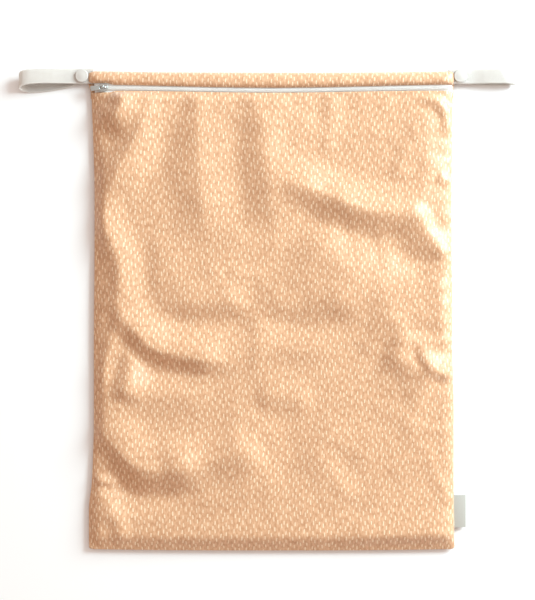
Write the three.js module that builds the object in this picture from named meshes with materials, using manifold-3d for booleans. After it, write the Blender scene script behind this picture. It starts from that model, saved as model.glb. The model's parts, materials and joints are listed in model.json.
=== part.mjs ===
// A cloth wet bag that lies on its back: two laminated cloth panels sewn together on three sides,
// a coil zip under a narrow strip of the same cloth, a webbing loop with a plastic press snap at
// each end of that strip, and a folded ribbon label in one side seam.
// Millimetres, +Z up out of the zipped side. The origin is the middle of the body, on its rest face.

import * as THREE from "three";
import { mergeVertices } from "three/addons/utils/BufferGeometryUtils.js";
import Module from "manifold-3d";

// Body
const BODY_WIDTH = 350; // side seam to side seam at the corners
const BODY_LENGTH = 460; // bottom seam to top seam
const WALL = 1.2; // cloth with its laminate
const GAP = 0.3; // between pieces that touch
const PUFF = 11.4; // height of the front where no fold lifts it
const FOLD_HEIGHT = 13; // of a fold whose rise is 1
const ROLL = 12; // width of the roll from the front down to the seams
const STRIP_ROLL = 7; // the same over the top seam
const BACK_LIFT = 2.6; // how far the back's rim stands off the surface
const BACK_CURL = 24; // how far in from the rim the back starts to lift
const CORNER_RADIUS = 3.5;
const LEFT_BOW = 6; // how far the left side seam is drawn in
const RIGHT_BOW = 1.6;
const TOP_SAG = 2.4;
const BOTTOM_BULGE = 1.3;
const SIDE_POWER = 5; // the higher, the straighter the middle of a bowed side
const END_POWER = 3;

// Zip
const ZIP_DROP = 16.9; // top edge to the middle of the zip
const ZIP_HEIGHT = 6.6; // middle of the tape over the surface
const TAPE_THICKNESS = 1;
const TAPE_WIDTH = 9; // one side
const TAPE_END = 5; // from the side seam to the tape's end
const COIL_WIDTH = 1.9; // one side
const COIL_HEIGHT = 1.6;
const COIL_PARTING = 0.15; // half the slit between the two coils
const HEM = 2.4; // middle of the zip to the panel's folded edge
const HEM_EASE = 6; // past the slider, how far the folded edges take to close up to the coils
const STRIP_CREST = 10.4; // height of the strip over the surface
const HEM_RISE = 34; // how far from the hem the front reaches its full height

// Slider and pull
const SLIDER_LENGTH = 8.5;
const SLIDER_SHOULDER = 7.8; // width at the end where the coils part
const SLIDER_TAIL = 6.2; // width at the end where the coils are closed
const SLIDER_PLATE = 0.8;
const SLIDER_FLANGE = 0.6;
const SLIDER_INSET = 12.6; // side seam to the middle of the slider
const WEDGE_WIDTH = 1.5;
const BRIDGE_LENGTH = 6;
const BRIDGE_WIDTH = 1.6;
const BRIDGE_THICKNESS = 0.8;
const PULL_LENGTH = 13;
const PULL_WIDTH = 4.8;
const PULL_THICKNESS = 0.9;
const PULL_ROD = 0.9; // bar of the pull that runs under the bridge
const PULL_SIDE_PLAY = 0.5; // each side of the bridge
const PULL_YAW = 5; // degrees that the pull hangs to one side

// Webbing loops
const WEBBING_WIDTH = 14.5;
const WEBBING_THICKNESS = 1.2;
const LOOP_ROOT = 5; // webbing held inside the seam
const LEFT_REACH = 67; // side seam to the far end of the loop
const RIGHT_REACH = 57;
const LEFT_LOOP_HEIGHT = 12.6; // at the loop's far end
const RIGHT_LOOP_HEIGHT = 10.2;
const LEFT_SKEW = 10; // how far the under layer lies towards the bottom seam
const RIGHT_SKEW = 4;
const RIGHT_SLANT = 0.62; // slant of the right loop's far end: along for each mm across
const LOOP_OVER_TOP = 1.9; // webbing's upper edge over the top corner

// Press snaps
const SNAP_DIAMETER = 12.4;
const SNAP_INSET = 6.7; // side seam to the middle of the snap
const CAP_RIM = 0.7;
const CAP_DOME = 1.9;
const BACK_CAP = 1; // thickness of the cap under the loop
const POST_RADIUS = 1.5;
const POST_CLEARANCE = 0.4;
const STUD_RADIUS = 5;
const STUD_FLANGE = 0.7;
const NUB_HEIGHT = 0.9;
const SOCKET_RADIUS = 5.2;
const SOCKET_HEIGHT = 1.5;

// Label
const LABEL_WIDTH = 31; // along the seam
const LABEL_REACH = 12.6; // out of the seam
const LABEL_THICKNESS = 1;
const LABEL_FROM_BOTTOM = 21; // bottom edge to the label
const LABEL_ROOT = 4;
const LABEL_DROOP = 1.9;

// Mesh steps
const RIM_STEPS = 4;
const FRONT_COLUMNS = 26;
const FRONT_ROWS = 36;
const STRIP_ROWS = 4;
const BACK_STEPS = 6;
const ROUND_SIDES = 16;
const LOOP_STEPS = 44;
const ZIP_STEPS = 24;

// Main folds of the front. Each runs from one place to another, given as shares of the width and
// length from the lower left corner. bend is the bow of its line as a share of its own length,
// rise its height as a share of the fold height, and near and far the half widths of its lower
// left side and its upper right side as shares of the body's width.
const FOLD_COLUMNS = ["x0", "y0", "x1", "y1", "bend", "rise", "near", "far"];
const FOLD_ROWS = [
  [0.067, 0.944, 0.026, 0.81, 0.0, 0.23, 0.03, 0.035],
  [0.171, 0.94, 0.086, 0.78, 0.07, 0.28, 0.03, 0.035],
  [0.289, 0.94, 0.311, 0.65, 0.0, 0.3, 0.04, 0.04],
  [0.464, 0.94, 0.527, 0.65, 0.06, 0.34, 0.055, 0.08],
  [0.538, 0.77, 0.886, 0.7, 0.0, 0.45, 0.065, 0.04],
  [0.886, 0.72, 0.99, 0.6, 0.05, 0.4, 0.07, 0.03],
  [0.889, 0.8, 0.903, 0.65, 0.0, 0.2, 0.055, 0.04],
  [0.579, 0.67, 0.812, 0.51, 0.0, 0.3, 0.035, 0.06],
  [0.073, 0.68, 0.07, 0.51, 0.0, 0.35, 0.035, 0.05],
  [0.21, 0.54, 0.429, 0.51, 0.0, 0.28, 0.03, 0.06],
  [0.122, 0.48, 0.319, 0.4, -0.12, 0.35, 0.028, 0.07],
  [0.026, 0.26, 0.136, 0.15, 0.0, 0.6, 0.03, 0.08],
  [0.127, 0.16, 0.415, 0.19, 0.0, 0.38, 0.04, 0.08],
  [0.492, 0.32, 0.593, 0.32, 0.0, 0.2, 0.03, 0.035],
  [0.812, 0.42, 0.982, 0.34, 0.1, 0.45, 0.08, 0.035],
  [0.629, 0.25, 0.812, 0.22, 0.0, 0.2, 0.03, 0.045],
  [0.579, 0.19, 0.662, 0.1, 0.0, 0.27, 0.04, 0.035],
  [0.853, 0.14, 0.886, 0.05, 0.0, 0.2, 0.03, 0.06],
  [0.432, 0.25, 0.448, 0.18, 0.0, 0.2, 0.04, 0.04],
];
const FOLD_FACING = new THREE.Vector2(0.87, 0.5); // the far side of every fold faces this way

// Course of a loop from the seam out along the upper layer, round the far end and back
// underneath. out is a share of the reach, or of the snap's place up to the snap, and skew the
// share of the under layer's shift. up is a share of the height between the two named levels.
const LOOP_COLUMNS = ["measure", "out", "level", "up", "skew"];
const LOOP_ROWS = [
  ["root", -1, "snap", 1, 0],
  ["snap", 0, "snap", 1, 0],
  ["snap", 1, "snap", 1, 0],
  ["snap", 2, "snap", 1, 0],
  ["reach", 0.36, "far", 0.62, 0],
  ["reach", 0.55, "far", 0.82, 0.02],
  ["reach", 0.75, "far", 0.96, 0.08],
  ["reach", 0.88, "far", 0.98, 0.2],
  ["reach", 0.965, "far", 0.84, 0.38],
  ["reach", 0.997, "far", 0.52, 0.62],
  ["reach", 0.965, "far", 0.2, 0.86],
  ["reach", 0.88, "far", 0.035, 1],
  ["reach", 0.7, "far", 0, 0.94],
  ["reach", 0.45, "far", 0, 0.66],
  ["reach", 0.3, "far", 0.06, 0.42],
  ["snap", 1.9, "snap", 0, 0.2],
  ["snap", 1, "snap", 0, 0.05],
  ["snap", 0.13, "snap", 0, 0],
];

// Levels over the surface, worked out from the sizes above
const RIM_HEIGHT = BACK_LIFT + WALL + GAP;
const TAPE_TOP = TAPE_THICKNESS / 2;
const HEM_OVER_TAPE = TAPE_TOP + GAP + WALL;
const COIL_BASE = TAPE_TOP + GAP;
const PLATE_OVER = COIL_BASE + COIL_HEIGHT + GAP;
const PLATE_UNDER = -TAPE_TOP - GAP;
const HINGE_OVER = PLATE_OVER + SLIDER_PLATE + GAP + PULL_ROD / 2;
const BRIDGE_RISE = GAP + PULL_ROD + GAP + BRIDGE_THICKNESS;
const SLIDER_HEM = SLIDER_SHOULDER / 2 + GAP;
const SLIDER_PAST = SLIDER_INSET + SLIDER_LENGTH / 2 + GAP; // side seam to just past its tail
const LOOP_UNDER = BACK_CAP + GAP;
const STUD_UNDER = LOOP_UNDER + WEBBING_THICKNESS + GAP;
const SOCKET_UNDER = STUD_UNDER + STUD_FLANGE + GAP;
const LOOP_OVER = SOCKET_UNDER + SOCKET_HEIGHT + GAP;
const CAP_UNDER = LOOP_OVER + WEBBING_THICKNESS + GAP;
const WEBBING_MIDDLE = WEBBING_THICKNESS / 2;

const lerp = THREE.MathUtils.lerp;
const clamp = THREE.MathUtils.clamp;
const smooth = (value) => THREE.MathUtils.smoothstep(value, 0, 1);

// Outline of the body in plan. A bow is 0 at both corners and 1 along the middle of the edge.
const bow = (share, power) => 1 - Math.abs(2 * share - 1) ** power;
const lengthShare = (y) => clamp(y / BODY_LENGTH + 0.5, 0, 1);
const cornerCut = (distance) =>
  (1 - Math.SQRT1_2) * CORNER_RADIUS * (1 - clamp(distance / CORNER_RADIUS, 0, 1)) ** 2;
const lengthCut = (y) => cornerCut(BODY_LENGTH / 2 - Math.abs(y));
const widthCut = (share) => cornerCut(BODY_WIDTH * Math.min(share, 1 - share));
const leftEdge = (y) => -BODY_WIDTH / 2 + LEFT_BOW * bow(lengthShare(y), SIDE_POWER) + lengthCut(y);
const rightEdge = (y) => BODY_WIDTH / 2 - RIGHT_BOW * bow(lengthShare(y), SIDE_POWER) - lengthCut(y);
const bottomEdge = (share) => -BODY_LENGTH / 2 - BOTTOM_BULGE * bow(share, END_POWER) + widthCut(share);
const topEdge = (share) => BODY_LENGTH / 2 - TOP_SAG * bow(share, END_POWER) - widthCut(share) / 3;
const zipLine = (share) =>
  BODY_LENGTH / 2 - ZIP_DROP - TOP_SAG * Math.sin(Math.PI * share) ** 2;
const hemDistance = (share) =>
  lerp(SLIDER_HEM, HEM, smooth((BODY_WIDTH * share - SLIDER_PAST) / HEM_EASE));

// A surface rolls down to a seam as a quarter of an ellipse: 0 at the seam, 1 past the roll.
const roll = (distance, width) => Math.sqrt(1 - (1 - clamp(distance / width, 0, 1)) ** 2);
const sideRoll = (share, width) =>
  roll(BODY_WIDTH * share, width) * roll(BODY_WIDTH * (1 - share), width);

// Shares along an edge: close together in the roll at each rolled end, even between.
function shares(length, steps, rollAtStart, rollAtEnd) {
  const rim = [];
  for (let k = 0; k < RIM_STEPS; k += 1) {
    rim.push(1 - Math.cos((k * Math.PI) / 2 / RIM_STEPS));
  }
  const start = rollAtStart / length;
  const end = rollAtEnd / length;
  const list = rollAtStart ? rim.map((part) => part * start) : [];
  for (let k = 0; k <= steps; k += 1) {
    list.push(lerp(start, 1 - end, k / steps));
  }
  if (rollAtEnd) {
    list.push(...rim.map((part) => 1 - part * end).reverse());
  }
  return list;
}

// Height that the folds add at one place: each is a ridge with a line of its own, round on top,
// that fades out at both ends.
const FOLDS = FOLD_ROWS.map((row) => {
  const fold = Object.fromEntries(FOLD_COLUMNS.map((name, k) => [name, row[k]]));
  const start = new THREE.Vector2((fold.x0 - 0.5) * BODY_WIDTH, (fold.y0 - 0.5) * BODY_LENGTH);
  const end = new THREE.Vector2((fold.x1 - 0.5) * BODY_WIDTH, (fold.y1 - 0.5) * BODY_LENGTH);
  const along = end.clone().sub(start);
  const across = new THREE.Vector2(-along.y, along.x).normalize();
  if (across.dot(FOLD_FACING) < 0) {
    across.negate();
  }
  return { ...fold, start, along, across, length: along.length() };
});

function foldHeight(x, y) {
  let height = 0;
  for (const fold of FOLDS) {
    const offset = new THREE.Vector2(x, y).sub(fold.start);
    const share = offset.dot(fold.along) / fold.length ** 2;
    const line = fold.bend * fold.length * 4 * share * (1 - share);
    const distance = offset.dot(fold.across) - line;
    const width = BODY_WIDTH * (distance < 0 ? fold.near : fold.far);
    const fade = smooth((share + 0.1) / 0.3) * smooth((1.1 - share) / 0.3);
    height += FOLD_HEIGHT * fold.rise * fade * Math.exp(-((distance / width) ** 2));
  }
  return height;
}

// Closed solids from points on a grid. Both layers have the same rows and columns, the outer one
// facing up when its columns run along +X and its rows along +Y.
function solidFrom(points, index) {
  const geometry = new THREE.BufferGeometry().setFromPoints(points);
  geometry.setIndex(index);
  return geometry;
}

function shell(outer, inner) {
  const rows = outer.length;
  const columns = outer[0].length;
  const index = [];
  const at = (layer, row, column) => (layer * rows + row) * columns + column;
  const quad = (a, b, c, d) => index.push(a, b, c, a, c, d);
  for (let row = 0; row < rows - 1; row += 1) {
    for (let column = 0; column < columns - 1; column += 1) {
      const right = column + 1;
      const up = row + 1;
      quad(at(0, row, column), at(0, row, right), at(0, up, right), at(0, up, column));
      quad(at(1, row, column), at(1, up, column), at(1, up, right), at(1, row, right));
    }
  }
  for (let column = 0; column < columns - 1; column += 1) {
    const right = column + 1;
    const last = rows - 1;
    quad(at(0, 0, column), at(1, 0, column), at(1, 0, right), at(0, 0, right));
    quad(at(0, last, right), at(1, last, right), at(1, last, column), at(0, last, column));
  }
  for (let row = 0; row < rows - 1; row += 1) {
    const up = row + 1;
    const last = columns - 1;
    quad(at(0, up, 0), at(1, up, 0), at(1, row, 0), at(0, row, 0));
    quad(at(0, row, last), at(1, row, last), at(1, up, last), at(0, up, last));
  }
  return solidFrom([...outer.flat(), ...inner.flat()], index);
}

// The same grid moved in by the wall along its normals. On the rims that stand on a seam the
// normal lies level, so that the rim keeps its height.
function inward(outer, wall, isRim) {
  return outer.map((line, row) =>
    line.map((point, column) => {
      const rowAt = (k) => outer[clamp(k, 0, outer.length - 1)];
      const columnAt = (k) => line[clamp(k, 0, line.length - 1)];
      const alongX = columnAt(column + 1).clone().sub(columnAt(column - 1));
      const alongY = rowAt(row + 1)[column].clone().sub(rowAt(row - 1)[column]);
      const normal = alongX.cross(alongY);
      if (isRim(row, column)) {
        normal.z = 0;
      }
      return point.clone().addScaledVector(normal.normalize(), -wall);
    }),
  );
}

// A bar whose cross-section stays the same turned polygon along a list of frames.
function sweep(frames, section) {
  const points = frames.flatMap(({ centre, side, up }) =>
    section.map(([across, over]) =>
      centre.clone().addScaledVector(side, across).addScaledVector(up, over),
    ),
  );
  const sides = section.length;
  const index = [];
  for (let k = 0; k < frames.length - 1; k += 1) {
    for (let j = 0; j < sides; j += 1) {
      const a = k * sides + j;
      const b = k * sides + ((j + 1) % sides);
      index.push(a, b, b + sides, a, b + sides, a + sides);
    }
  }
  const end = (frames.length - 1) * sides;
  for (let j = 1; j < sides - 1; j += 1) {
    index.push(0, j + 1, j, end, end + j, end + j + 1);
  }
  return solidFrom(points, index);
}

// Cutting and joining
const wasm = await Module();
wasm.setup();

function toManifold(geometry) {
  const bare = geometry.clone();
  bare.deleteAttribute("normal");
  bare.deleteAttribute("uv");
  const merged = mergeVertices(bare, 1e-4);
  return new wasm.Manifold(
    new wasm.Mesh({
      numProp: 3,
      vertProperties: merged.attributes.position.array,
      triVerts: new Uint32Array(merged.index.array),
    }),
  );
}

function fromManifold(solid) {
  const { vertProperties, triVerts } = solid.getMesh();
  const geometry = new THREE.BufferGeometry();
  geometry.setAttribute("position", new THREE.BufferAttribute(vertProperties, 3));
  geometry.setIndex(new THREE.BufferAttribute(triVerts, 1));
  return geometry;
}

const cut = (geometry, tools) =>
  fromManifold(
    tools.reduce((solid, tool) => solid.subtract(toManifold(tool)), toManifold(geometry)),
  );
const join = (geometries) =>
  fromManifold(geometries.map(toManifold).reduce((solid, other) => solid.add(other)));

// A box between two corners
function block(low, high) {
  const size = high.clone().sub(low);
  const middle = low.clone().add(high).multiplyScalar(0.5);
  return new THREE.BoxGeometry(...size).translate(...middle);
}

// Materials
const cloth = new THREE.MeshStandardMaterial({ color: 0xf0c79c, roughness: 0.55, metalness: 0 });
const clothBack = new THREE.MeshStandardMaterial({ color: 0xecc094, roughness: 0.6, metalness: 0 });
const tape = new THREE.MeshStandardMaterial({ color: 0xf3f1ec, roughness: 0.8, metalness: 0 });
const coil = new THREE.MeshStandardMaterial({ color: 0xf7f6f3, roughness: 0.4, metalness: 0 });
const zinc = new THREE.MeshStandardMaterial({ color: 0xaab0b0, roughness: 0.35, metalness: 1 });
const webbing = new THREE.MeshStandardMaterial({ color: 0xe9e8e6, roughness: 0.85, metalness: 0 });
const snapPlastic = new THREE.MeshStandardMaterial({ color: 0xf4f4f4, roughness: 0.3, metalness: 0 });
const ribbon = new THREE.MeshStandardMaterial({ color: 0xf2f0ec, roughness: 0.7, metalness: 0 });

const bag = new THREE.Group();
function add(name, geometry, material) {
  const mesh = new THREE.Mesh(geometry, material);
  mesh.name = name;
  bag.add(mesh);
}

// Place on the body at a share of its width and a distance up its length
const planPoint = (share, y, height) =>
  new THREE.Vector3(lerp(leftEdge(y), rightEdge(y), share), y, height);

// Webbing enters the seam at the two ends of the strip, and the label at the lower right.
const loopMiddle = BODY_LENGTH / 2 + LOOP_OVER_TOP - WEBBING_WIDTH / 2;
const loopSlots = [-1, 1].map((side) => {
  const seam = (side * BODY_WIDTH) / 2;
  return block(
    new THREE.Vector3(seam - LOOP_ROOT - GAP, loopMiddle - WEBBING_WIDTH / 2 - GAP, LOOP_OVER - GAP),
    new THREE.Vector3(seam + LOOP_ROOT + GAP, BODY_LENGTH / 2 + WEBBING_WIDTH, CAP_UNDER),
  );
});
const labelLow = -BODY_LENGTH / 2 + LABEL_FROM_BOTTOM;
const labelSlot = block(
  new THREE.Vector3(BODY_WIDTH / 2 - LABEL_ROOT - GAP, labelLow - GAP, 0),
  new THREE.Vector3(
    BODY_WIDTH / 2 + LABEL_ROOT,
    labelLow + LABEL_WIDTH + GAP,
    RIM_HEIGHT + LABEL_THICKNESS + GAP,
  ),
);

function makeFrontPanel() {
  const columns = shares(BODY_WIDTH, FRONT_COLUMNS, ROLL, ROLL);
  const rows = shares(BODY_LENGTH, FRONT_ROWS, ROLL, 0);
  const hemHeight = ZIP_HEIGHT + HEM_OVER_TAPE;
  const outer = rows.map((rowShare) =>
    columns.map((share) => {
      const bottom = bottomEdge(share);
      const hem = zipLine(share) - hemDistance(share);
      const y = lerp(bottom, hem, rowShare);
      const point = planPoint(share, y, 0);
      const toHem = smooth((hem - y) / HEM_RISE);
      const full = lerp(hemHeight, PUFF + foldHeight(point.x, y), toHem);
      const rolled = sideRoll(share, ROLL) * roll(y - bottom, ROLL);
      point.z = lerp(RIM_HEIGHT, full, rolled);
      return point;
    }),
  );
  const last = columns.length - 1;
  const inner = inward(outer, WALL, (row, column) => row === 0 || column === 0 || column === last);
  add("front_panel", cut(shell(outer, inner), [labelSlot]), cloth);
}

function makeTopStrip() {
  const columns = shares(BODY_WIDTH, FRONT_COLUMNS, ROLL, ROLL);
  const width = ZIP_DROP - HEM;
  const rows = shares(width, STRIP_ROWS, 0, STRIP_ROLL);
  const hemHeight = ZIP_HEIGHT + HEM_OVER_TAPE;
  const outer = rows.map((rowShare) =>
    columns.map((share) => {
      const top = topEdge(share);
      const hem = zipLine(share) + hemDistance(share);
      const y = lerp(hem, top, rowShare);
      const full = lerp(hemHeight, STRIP_CREST, roll(y - hem, (top - hem) / 2));
      const rolled = sideRoll(share, ROLL) * roll(top - y, STRIP_ROLL);
      return planPoint(share, y, lerp(RIM_HEIGHT, full, rolled));
    }),
  );
  const lastRow = rows.length - 1;
  const last = columns.length - 1;
  const isRim = (row, column) => row === lastRow || column === 0 || column === last;
  const inner = inward(outer, WALL, isRim);
  add("top_strip", cut(shell(outer, inner), loopSlots), cloth);
}

function makeBackPanel() {
  const columns = shares(BODY_WIDTH, BACK_STEPS, BACK_CURL, BACK_CURL);
  const rows = shares(BODY_LENGTH, BACK_STEPS, BACK_CURL, BACK_CURL);
  const layer = (over) =>
    rows.map((rowShare) =>
      columns.map((share) => {
        const y = lerp(bottomEdge(share), topEdge(share), rowShare);
        const toSide = BODY_WIDTH * Math.min(share, 1 - share);
        const toEnd = BODY_LENGTH * Math.min(rowShare, 1 - rowShare);
        const curl = 1 - clamp(Math.min(toSide, toEnd) / BACK_CURL, 0, 1);
        return planPoint(share, y, BACK_LIFT * curl ** 2 + over);
      }),
    );
  add("back_panel", shell(layer(WALL), layer(0)), clothBack);
}

// Places on the zip: along it by a share of the width, across it from its middle line and over
// the middle of the tape
const zipPoint = (share, across, over) => {
  const drop = sideRoll(share, ROLL);
  const height = lerp(RIM_HEIGHT - HEM_OVER_TAPE, ZIP_HEIGHT, drop) + over;
  return planPoint(share, zipLine(share) + across, height);
};
const sliderShare = SLIDER_INSET / BODY_WIDTH;
const sliderMiddle = zipPoint(sliderShare, 0, 0);
const sliderNose = sliderMiddle.x - SLIDER_LENGTH / 2;

// Half the slit between the two sides of the zip: open at the slider's nose, closed at its tail
function parting(share) {
  const fromNose = zipPoint(share, 0, 0).x - sliderNose;
  const open = 1 - smooth((fromNose - SLIDER_LENGTH / 3) / (SLIDER_LENGTH / 2));
  return COIL_PARTING + open * (WEDGE_WIDTH / 2 + GAP - COIL_PARTING);
}

function zipShares(end) {
  const near = end / BODY_WIDTH;
  const past = (SLIDER_INSET + SLIDER_LENGTH) / BODY_WIDTH;
  const list = [];
  for (let k = 0; k < RIM_STEPS; k += 1) {
    list.push(lerp(near, past, k / RIM_STEPS));
  }
  for (let k = 0; k <= ZIP_STEPS; k += 1) {
    list.push(lerp(past, 1 - near, k / ZIP_STEPS));
  }
  return list;
}

// One side of the zip as a strip with a rectangular section. side is 1 above the slit, -1 below.
function zipStrip(side, end, width, low, high) {
  const places = zipShares(end);
  const layer = (over) => {
    const inner = places.map((share) => zipPoint(share, side * parting(share), over));
    const outer = places.map((share) =>
      zipPoint(share, side * (parting(share) + width(share)), over),
    );
    return side > 0 ? [inner, outer] : [outer, inner];
  };
  return shell(layer(high), layer(low));
}

function makeZip() {
  for (const [name, side] of [["upper", 1], ["lower", -1]]) {
    const tapeWidth = (share) => TAPE_WIDTH - parting(share);
    const tapeSolid = zipStrip(side, TAPE_END, tapeWidth, -TAPE_TOP, TAPE_TOP);
    add("zip_tape_" + name, tapeSolid, tape);
    const coilTop = COIL_BASE + COIL_HEIGHT;
    const coilSolid = zipStrip(side, TAPE_END + 1, () => COIL_WIDTH, COIL_BASE, coilTop);
    add("zip_coil_" + name, coilSolid, coil);
  }
}

// The slider's own axes: along +X from its middle, across +Y, and over the tape +Z
function extruded(outline, low, high, holes = []) {
  const shape = new THREE.Shape(outline.map(([x, y]) => new THREE.Vector2(x, y)));
  shape.holes = holes.map((hole) => new THREE.Path(hole.map(([x, y]) => new THREE.Vector2(x, y))));
  const geometry = new THREE.ExtrudeGeometry(shape, { depth: high - low, bevelEnabled: false });
  return geometry.translate(0, 0, low);
}

function makeSlider() {
  const nose = -SLIDER_LENGTH / 2;
  const tail = SLIDER_LENGTH / 2;
  const shoulder = SLIDER_SHOULDER / 2;
  const waist = SLIDER_TAIL / 2;
  const chamfer = SLIDER_LENGTH / 8;
  const plan = [
    [nose, -shoulder + chamfer],
    [nose + chamfer, -shoulder],
    [0, -shoulder],
    [tail - chamfer, -waist],
    [tail, -waist + chamfer],
    [tail, waist - chamfer],
    [tail - chamfer, waist],
    [0, shoulder],
    [nose + chamfer, shoulder],
    [nose, shoulder - chamfer],
  ];
  const flangeEnd = tail - chamfer;
  const flange = (side) => [
    [nose + chamfer, side * shoulder],
    [0, side * shoulder],
    [flangeEnd, side * waist],
    [flangeEnd, side * (waist - SLIDER_FLANGE)],
    [0, side * (shoulder - SLIDER_FLANGE)],
    [nose + chamfer, side * (shoulder - SLIDER_FLANGE)],
  ];
  const half = WEDGE_WIDTH / 2;
  const wedge = [
    [nose + chamfer / 2, -half],
    [nose + SLIDER_LENGTH / 3, -half],
    [nose + SLIDER_LENGTH / 2, 0],
    [nose + SLIDER_LENGTH / 3, half],
    [nose + chamfer / 2, half],
  ];
  const overTop = PLATE_OVER + SLIDER_PLATE;
  const pieces = [
    extruded(plan, PLATE_OVER, overTop),
    extruded(plan, PLATE_UNDER - SLIDER_PLATE, PLATE_UNDER),
    extruded(wedge, PLATE_UNDER - SLIDER_PLATE / 2, overTop - SLIDER_PLATE / 2),
    extruded(flange(1), COIL_BASE, overTop - SLIDER_PLATE / 2),
    extruded(flange(-1), COIL_BASE, overTop - SLIDER_PLATE / 2),
    makeBridge(overTop),
  ];
  const slider = join(pieces).translate(...sliderMiddle);
  add("zip_slider", slider, zinc);
}

// The bridge on the slider is an arch seen from the side, as wide as BRIDGE_WIDTH.
function makeBridge(base) {
  const reach = BRIDGE_LENGTH / 2;
  const slope = BRIDGE_THICKNESS;
  const inside = reach - BRIDGE_THICKNESS;
  const foot = -SLIDER_PLATE / 2;
  const arch = [
    [-reach, foot],
    [-inside, foot],
    [-inside, BRIDGE_RISE - BRIDGE_THICKNESS - slope / 3],
    [-inside + slope / 3, BRIDGE_RISE - BRIDGE_THICKNESS],
    [inside - slope / 3, BRIDGE_RISE - BRIDGE_THICKNESS],
    [inside, BRIDGE_RISE - BRIDGE_THICKNESS - slope / 3],
    [inside, foot],
    [reach, foot],
    [reach, BRIDGE_RISE - slope],
    [reach - slope, BRIDGE_RISE],
    [-reach + slope, BRIDGE_RISE],
    [-reach, BRIDGE_RISE - slope],
  ];
  const geometry = extruded(arch, -BRIDGE_WIDTH / 2, BRIDGE_WIDTH / 2);
  return geometry.rotateX(Math.PI / 2).translate(0, 0, base);
}

// The pull lies along -X from its rod, with an eye that clears the bridge all the way round.
function makePull() {
  const half = PULL_WIDTH / 2;
  const round = PULL_WIDTH / 3;
  const far = -PULL_LENGTH + PULL_ROD / 2;
  const outline = [
    [PULL_ROD / 2, -half],
    [PULL_ROD / 2, half],
    [far + round, half],
    [far + round / 3, half - round / 3],
    [far, half - round],
    [far, -half + round],
    [far + round / 3, -half + round / 3],
    [far + round, -half],
  ];
  const eyeHalf = BRIDGE_WIDTH / 2 + PULL_SIDE_PLAY;
  const eyeEnd = -BRIDGE_LENGTH / 2 - PULL_SIDE_PLAY;
  const eye = [
    [-PULL_ROD / 2, -eyeHalf],
    [-PULL_ROD / 2, eyeHalf],
    [eyeEnd, eyeHalf],
    [eyeEnd, -eyeHalf],
  ];
  const pull = extruded(outline, -PULL_THICKNESS / 2, PULL_THICKNESS / 2, [eye]);
  pull.rotateZ(THREE.MathUtils.degToRad(PULL_YAW));
  pull.translate(sliderMiddle.x, sliderMiddle.y, sliderMiddle.z + HINGE_OVER);
  add("pull_tab", pull, zinc);
}

// Webbing loop. side is -1 at the left and 1 at the right, and the webbing's far end slants
// by slant for each millimetre across.
function makeLoop(name, side, reach, height, skew, slant) {
  const seam = (side * BODY_WIDTH) / 2;
  const measures = { root: LOOP_ROOT, snap: SNAP_INSET, reach };
  const levels = {
    snap: [LOOP_UNDER + WEBBING_MIDDLE, LOOP_OVER + WEBBING_MIDDLE],
    far: [WEBBING_MIDDLE, height - WEBBING_MIDDLE],
  };
  const course = LOOP_ROWS.map((cells) => {
    const row = Object.fromEntries(LOOP_COLUMNS.map((column, k) => [column, cells[k]]));
    const out = row.out * (measures[row.measure] - (row.measure === "reach" ? WEBBING_MIDDLE : 0));
    const up = lerp(...levels[row.level], row.up);
    return new THREE.Vector3(seam + side * out, loopMiddle - skew * row.skew, up);
  });
  const line = new THREE.CatmullRomCurve3(course, false, "centripetal");
  const places = line.getSpacedPoints(LOOP_STEPS);
  for (const place of places) {
    place.z = Math.max(place.z, WEBBING_MIDDLE);
  }
  const frames = places.map((place, k) => {
    const before = places[Math.max(k - 1, 0)];
    const after = places[Math.min(k + 1, LOOP_STEPS)];
    const forward = after.clone().sub(before).setY(0).normalize();
    const up = new THREE.Vector3(-side * forward.z, 0, side * forward.x);
    const out = Math.abs(place.x - seam) / reach;
    const lean = new THREE.Vector3(-side * slant * smooth(2 * out - 1), 1, 0);
    return { centre: place, side: lean.multiplyScalar(side), up };
  });
  const half = WEBBING_WIDTH / 2;
  const section = [
    [-half, -WEBBING_MIDDLE],
    [half, -WEBBING_MIDDLE],
    [half, WEBBING_MIDDLE],
    [-half, WEBBING_MIDDLE],
  ];
  const snapX = seam + side * SNAP_INSET;
  const hole = new THREE.CylinderGeometry(
    POST_RADIUS + POST_CLEARANCE,
    POST_RADIUS + POST_CLEARANCE,
    2 * CAP_UNDER,
    ROUND_SIDES,
  );
  hole.rotateX(Math.PI / 2).translate(snapX, loopMiddle, CAP_UNDER);
  add(name, cut(sweep(frames, section), [hole]), webbing);
  makeSnap(side < 0 ? "left" : "right", snapX);
}

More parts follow.
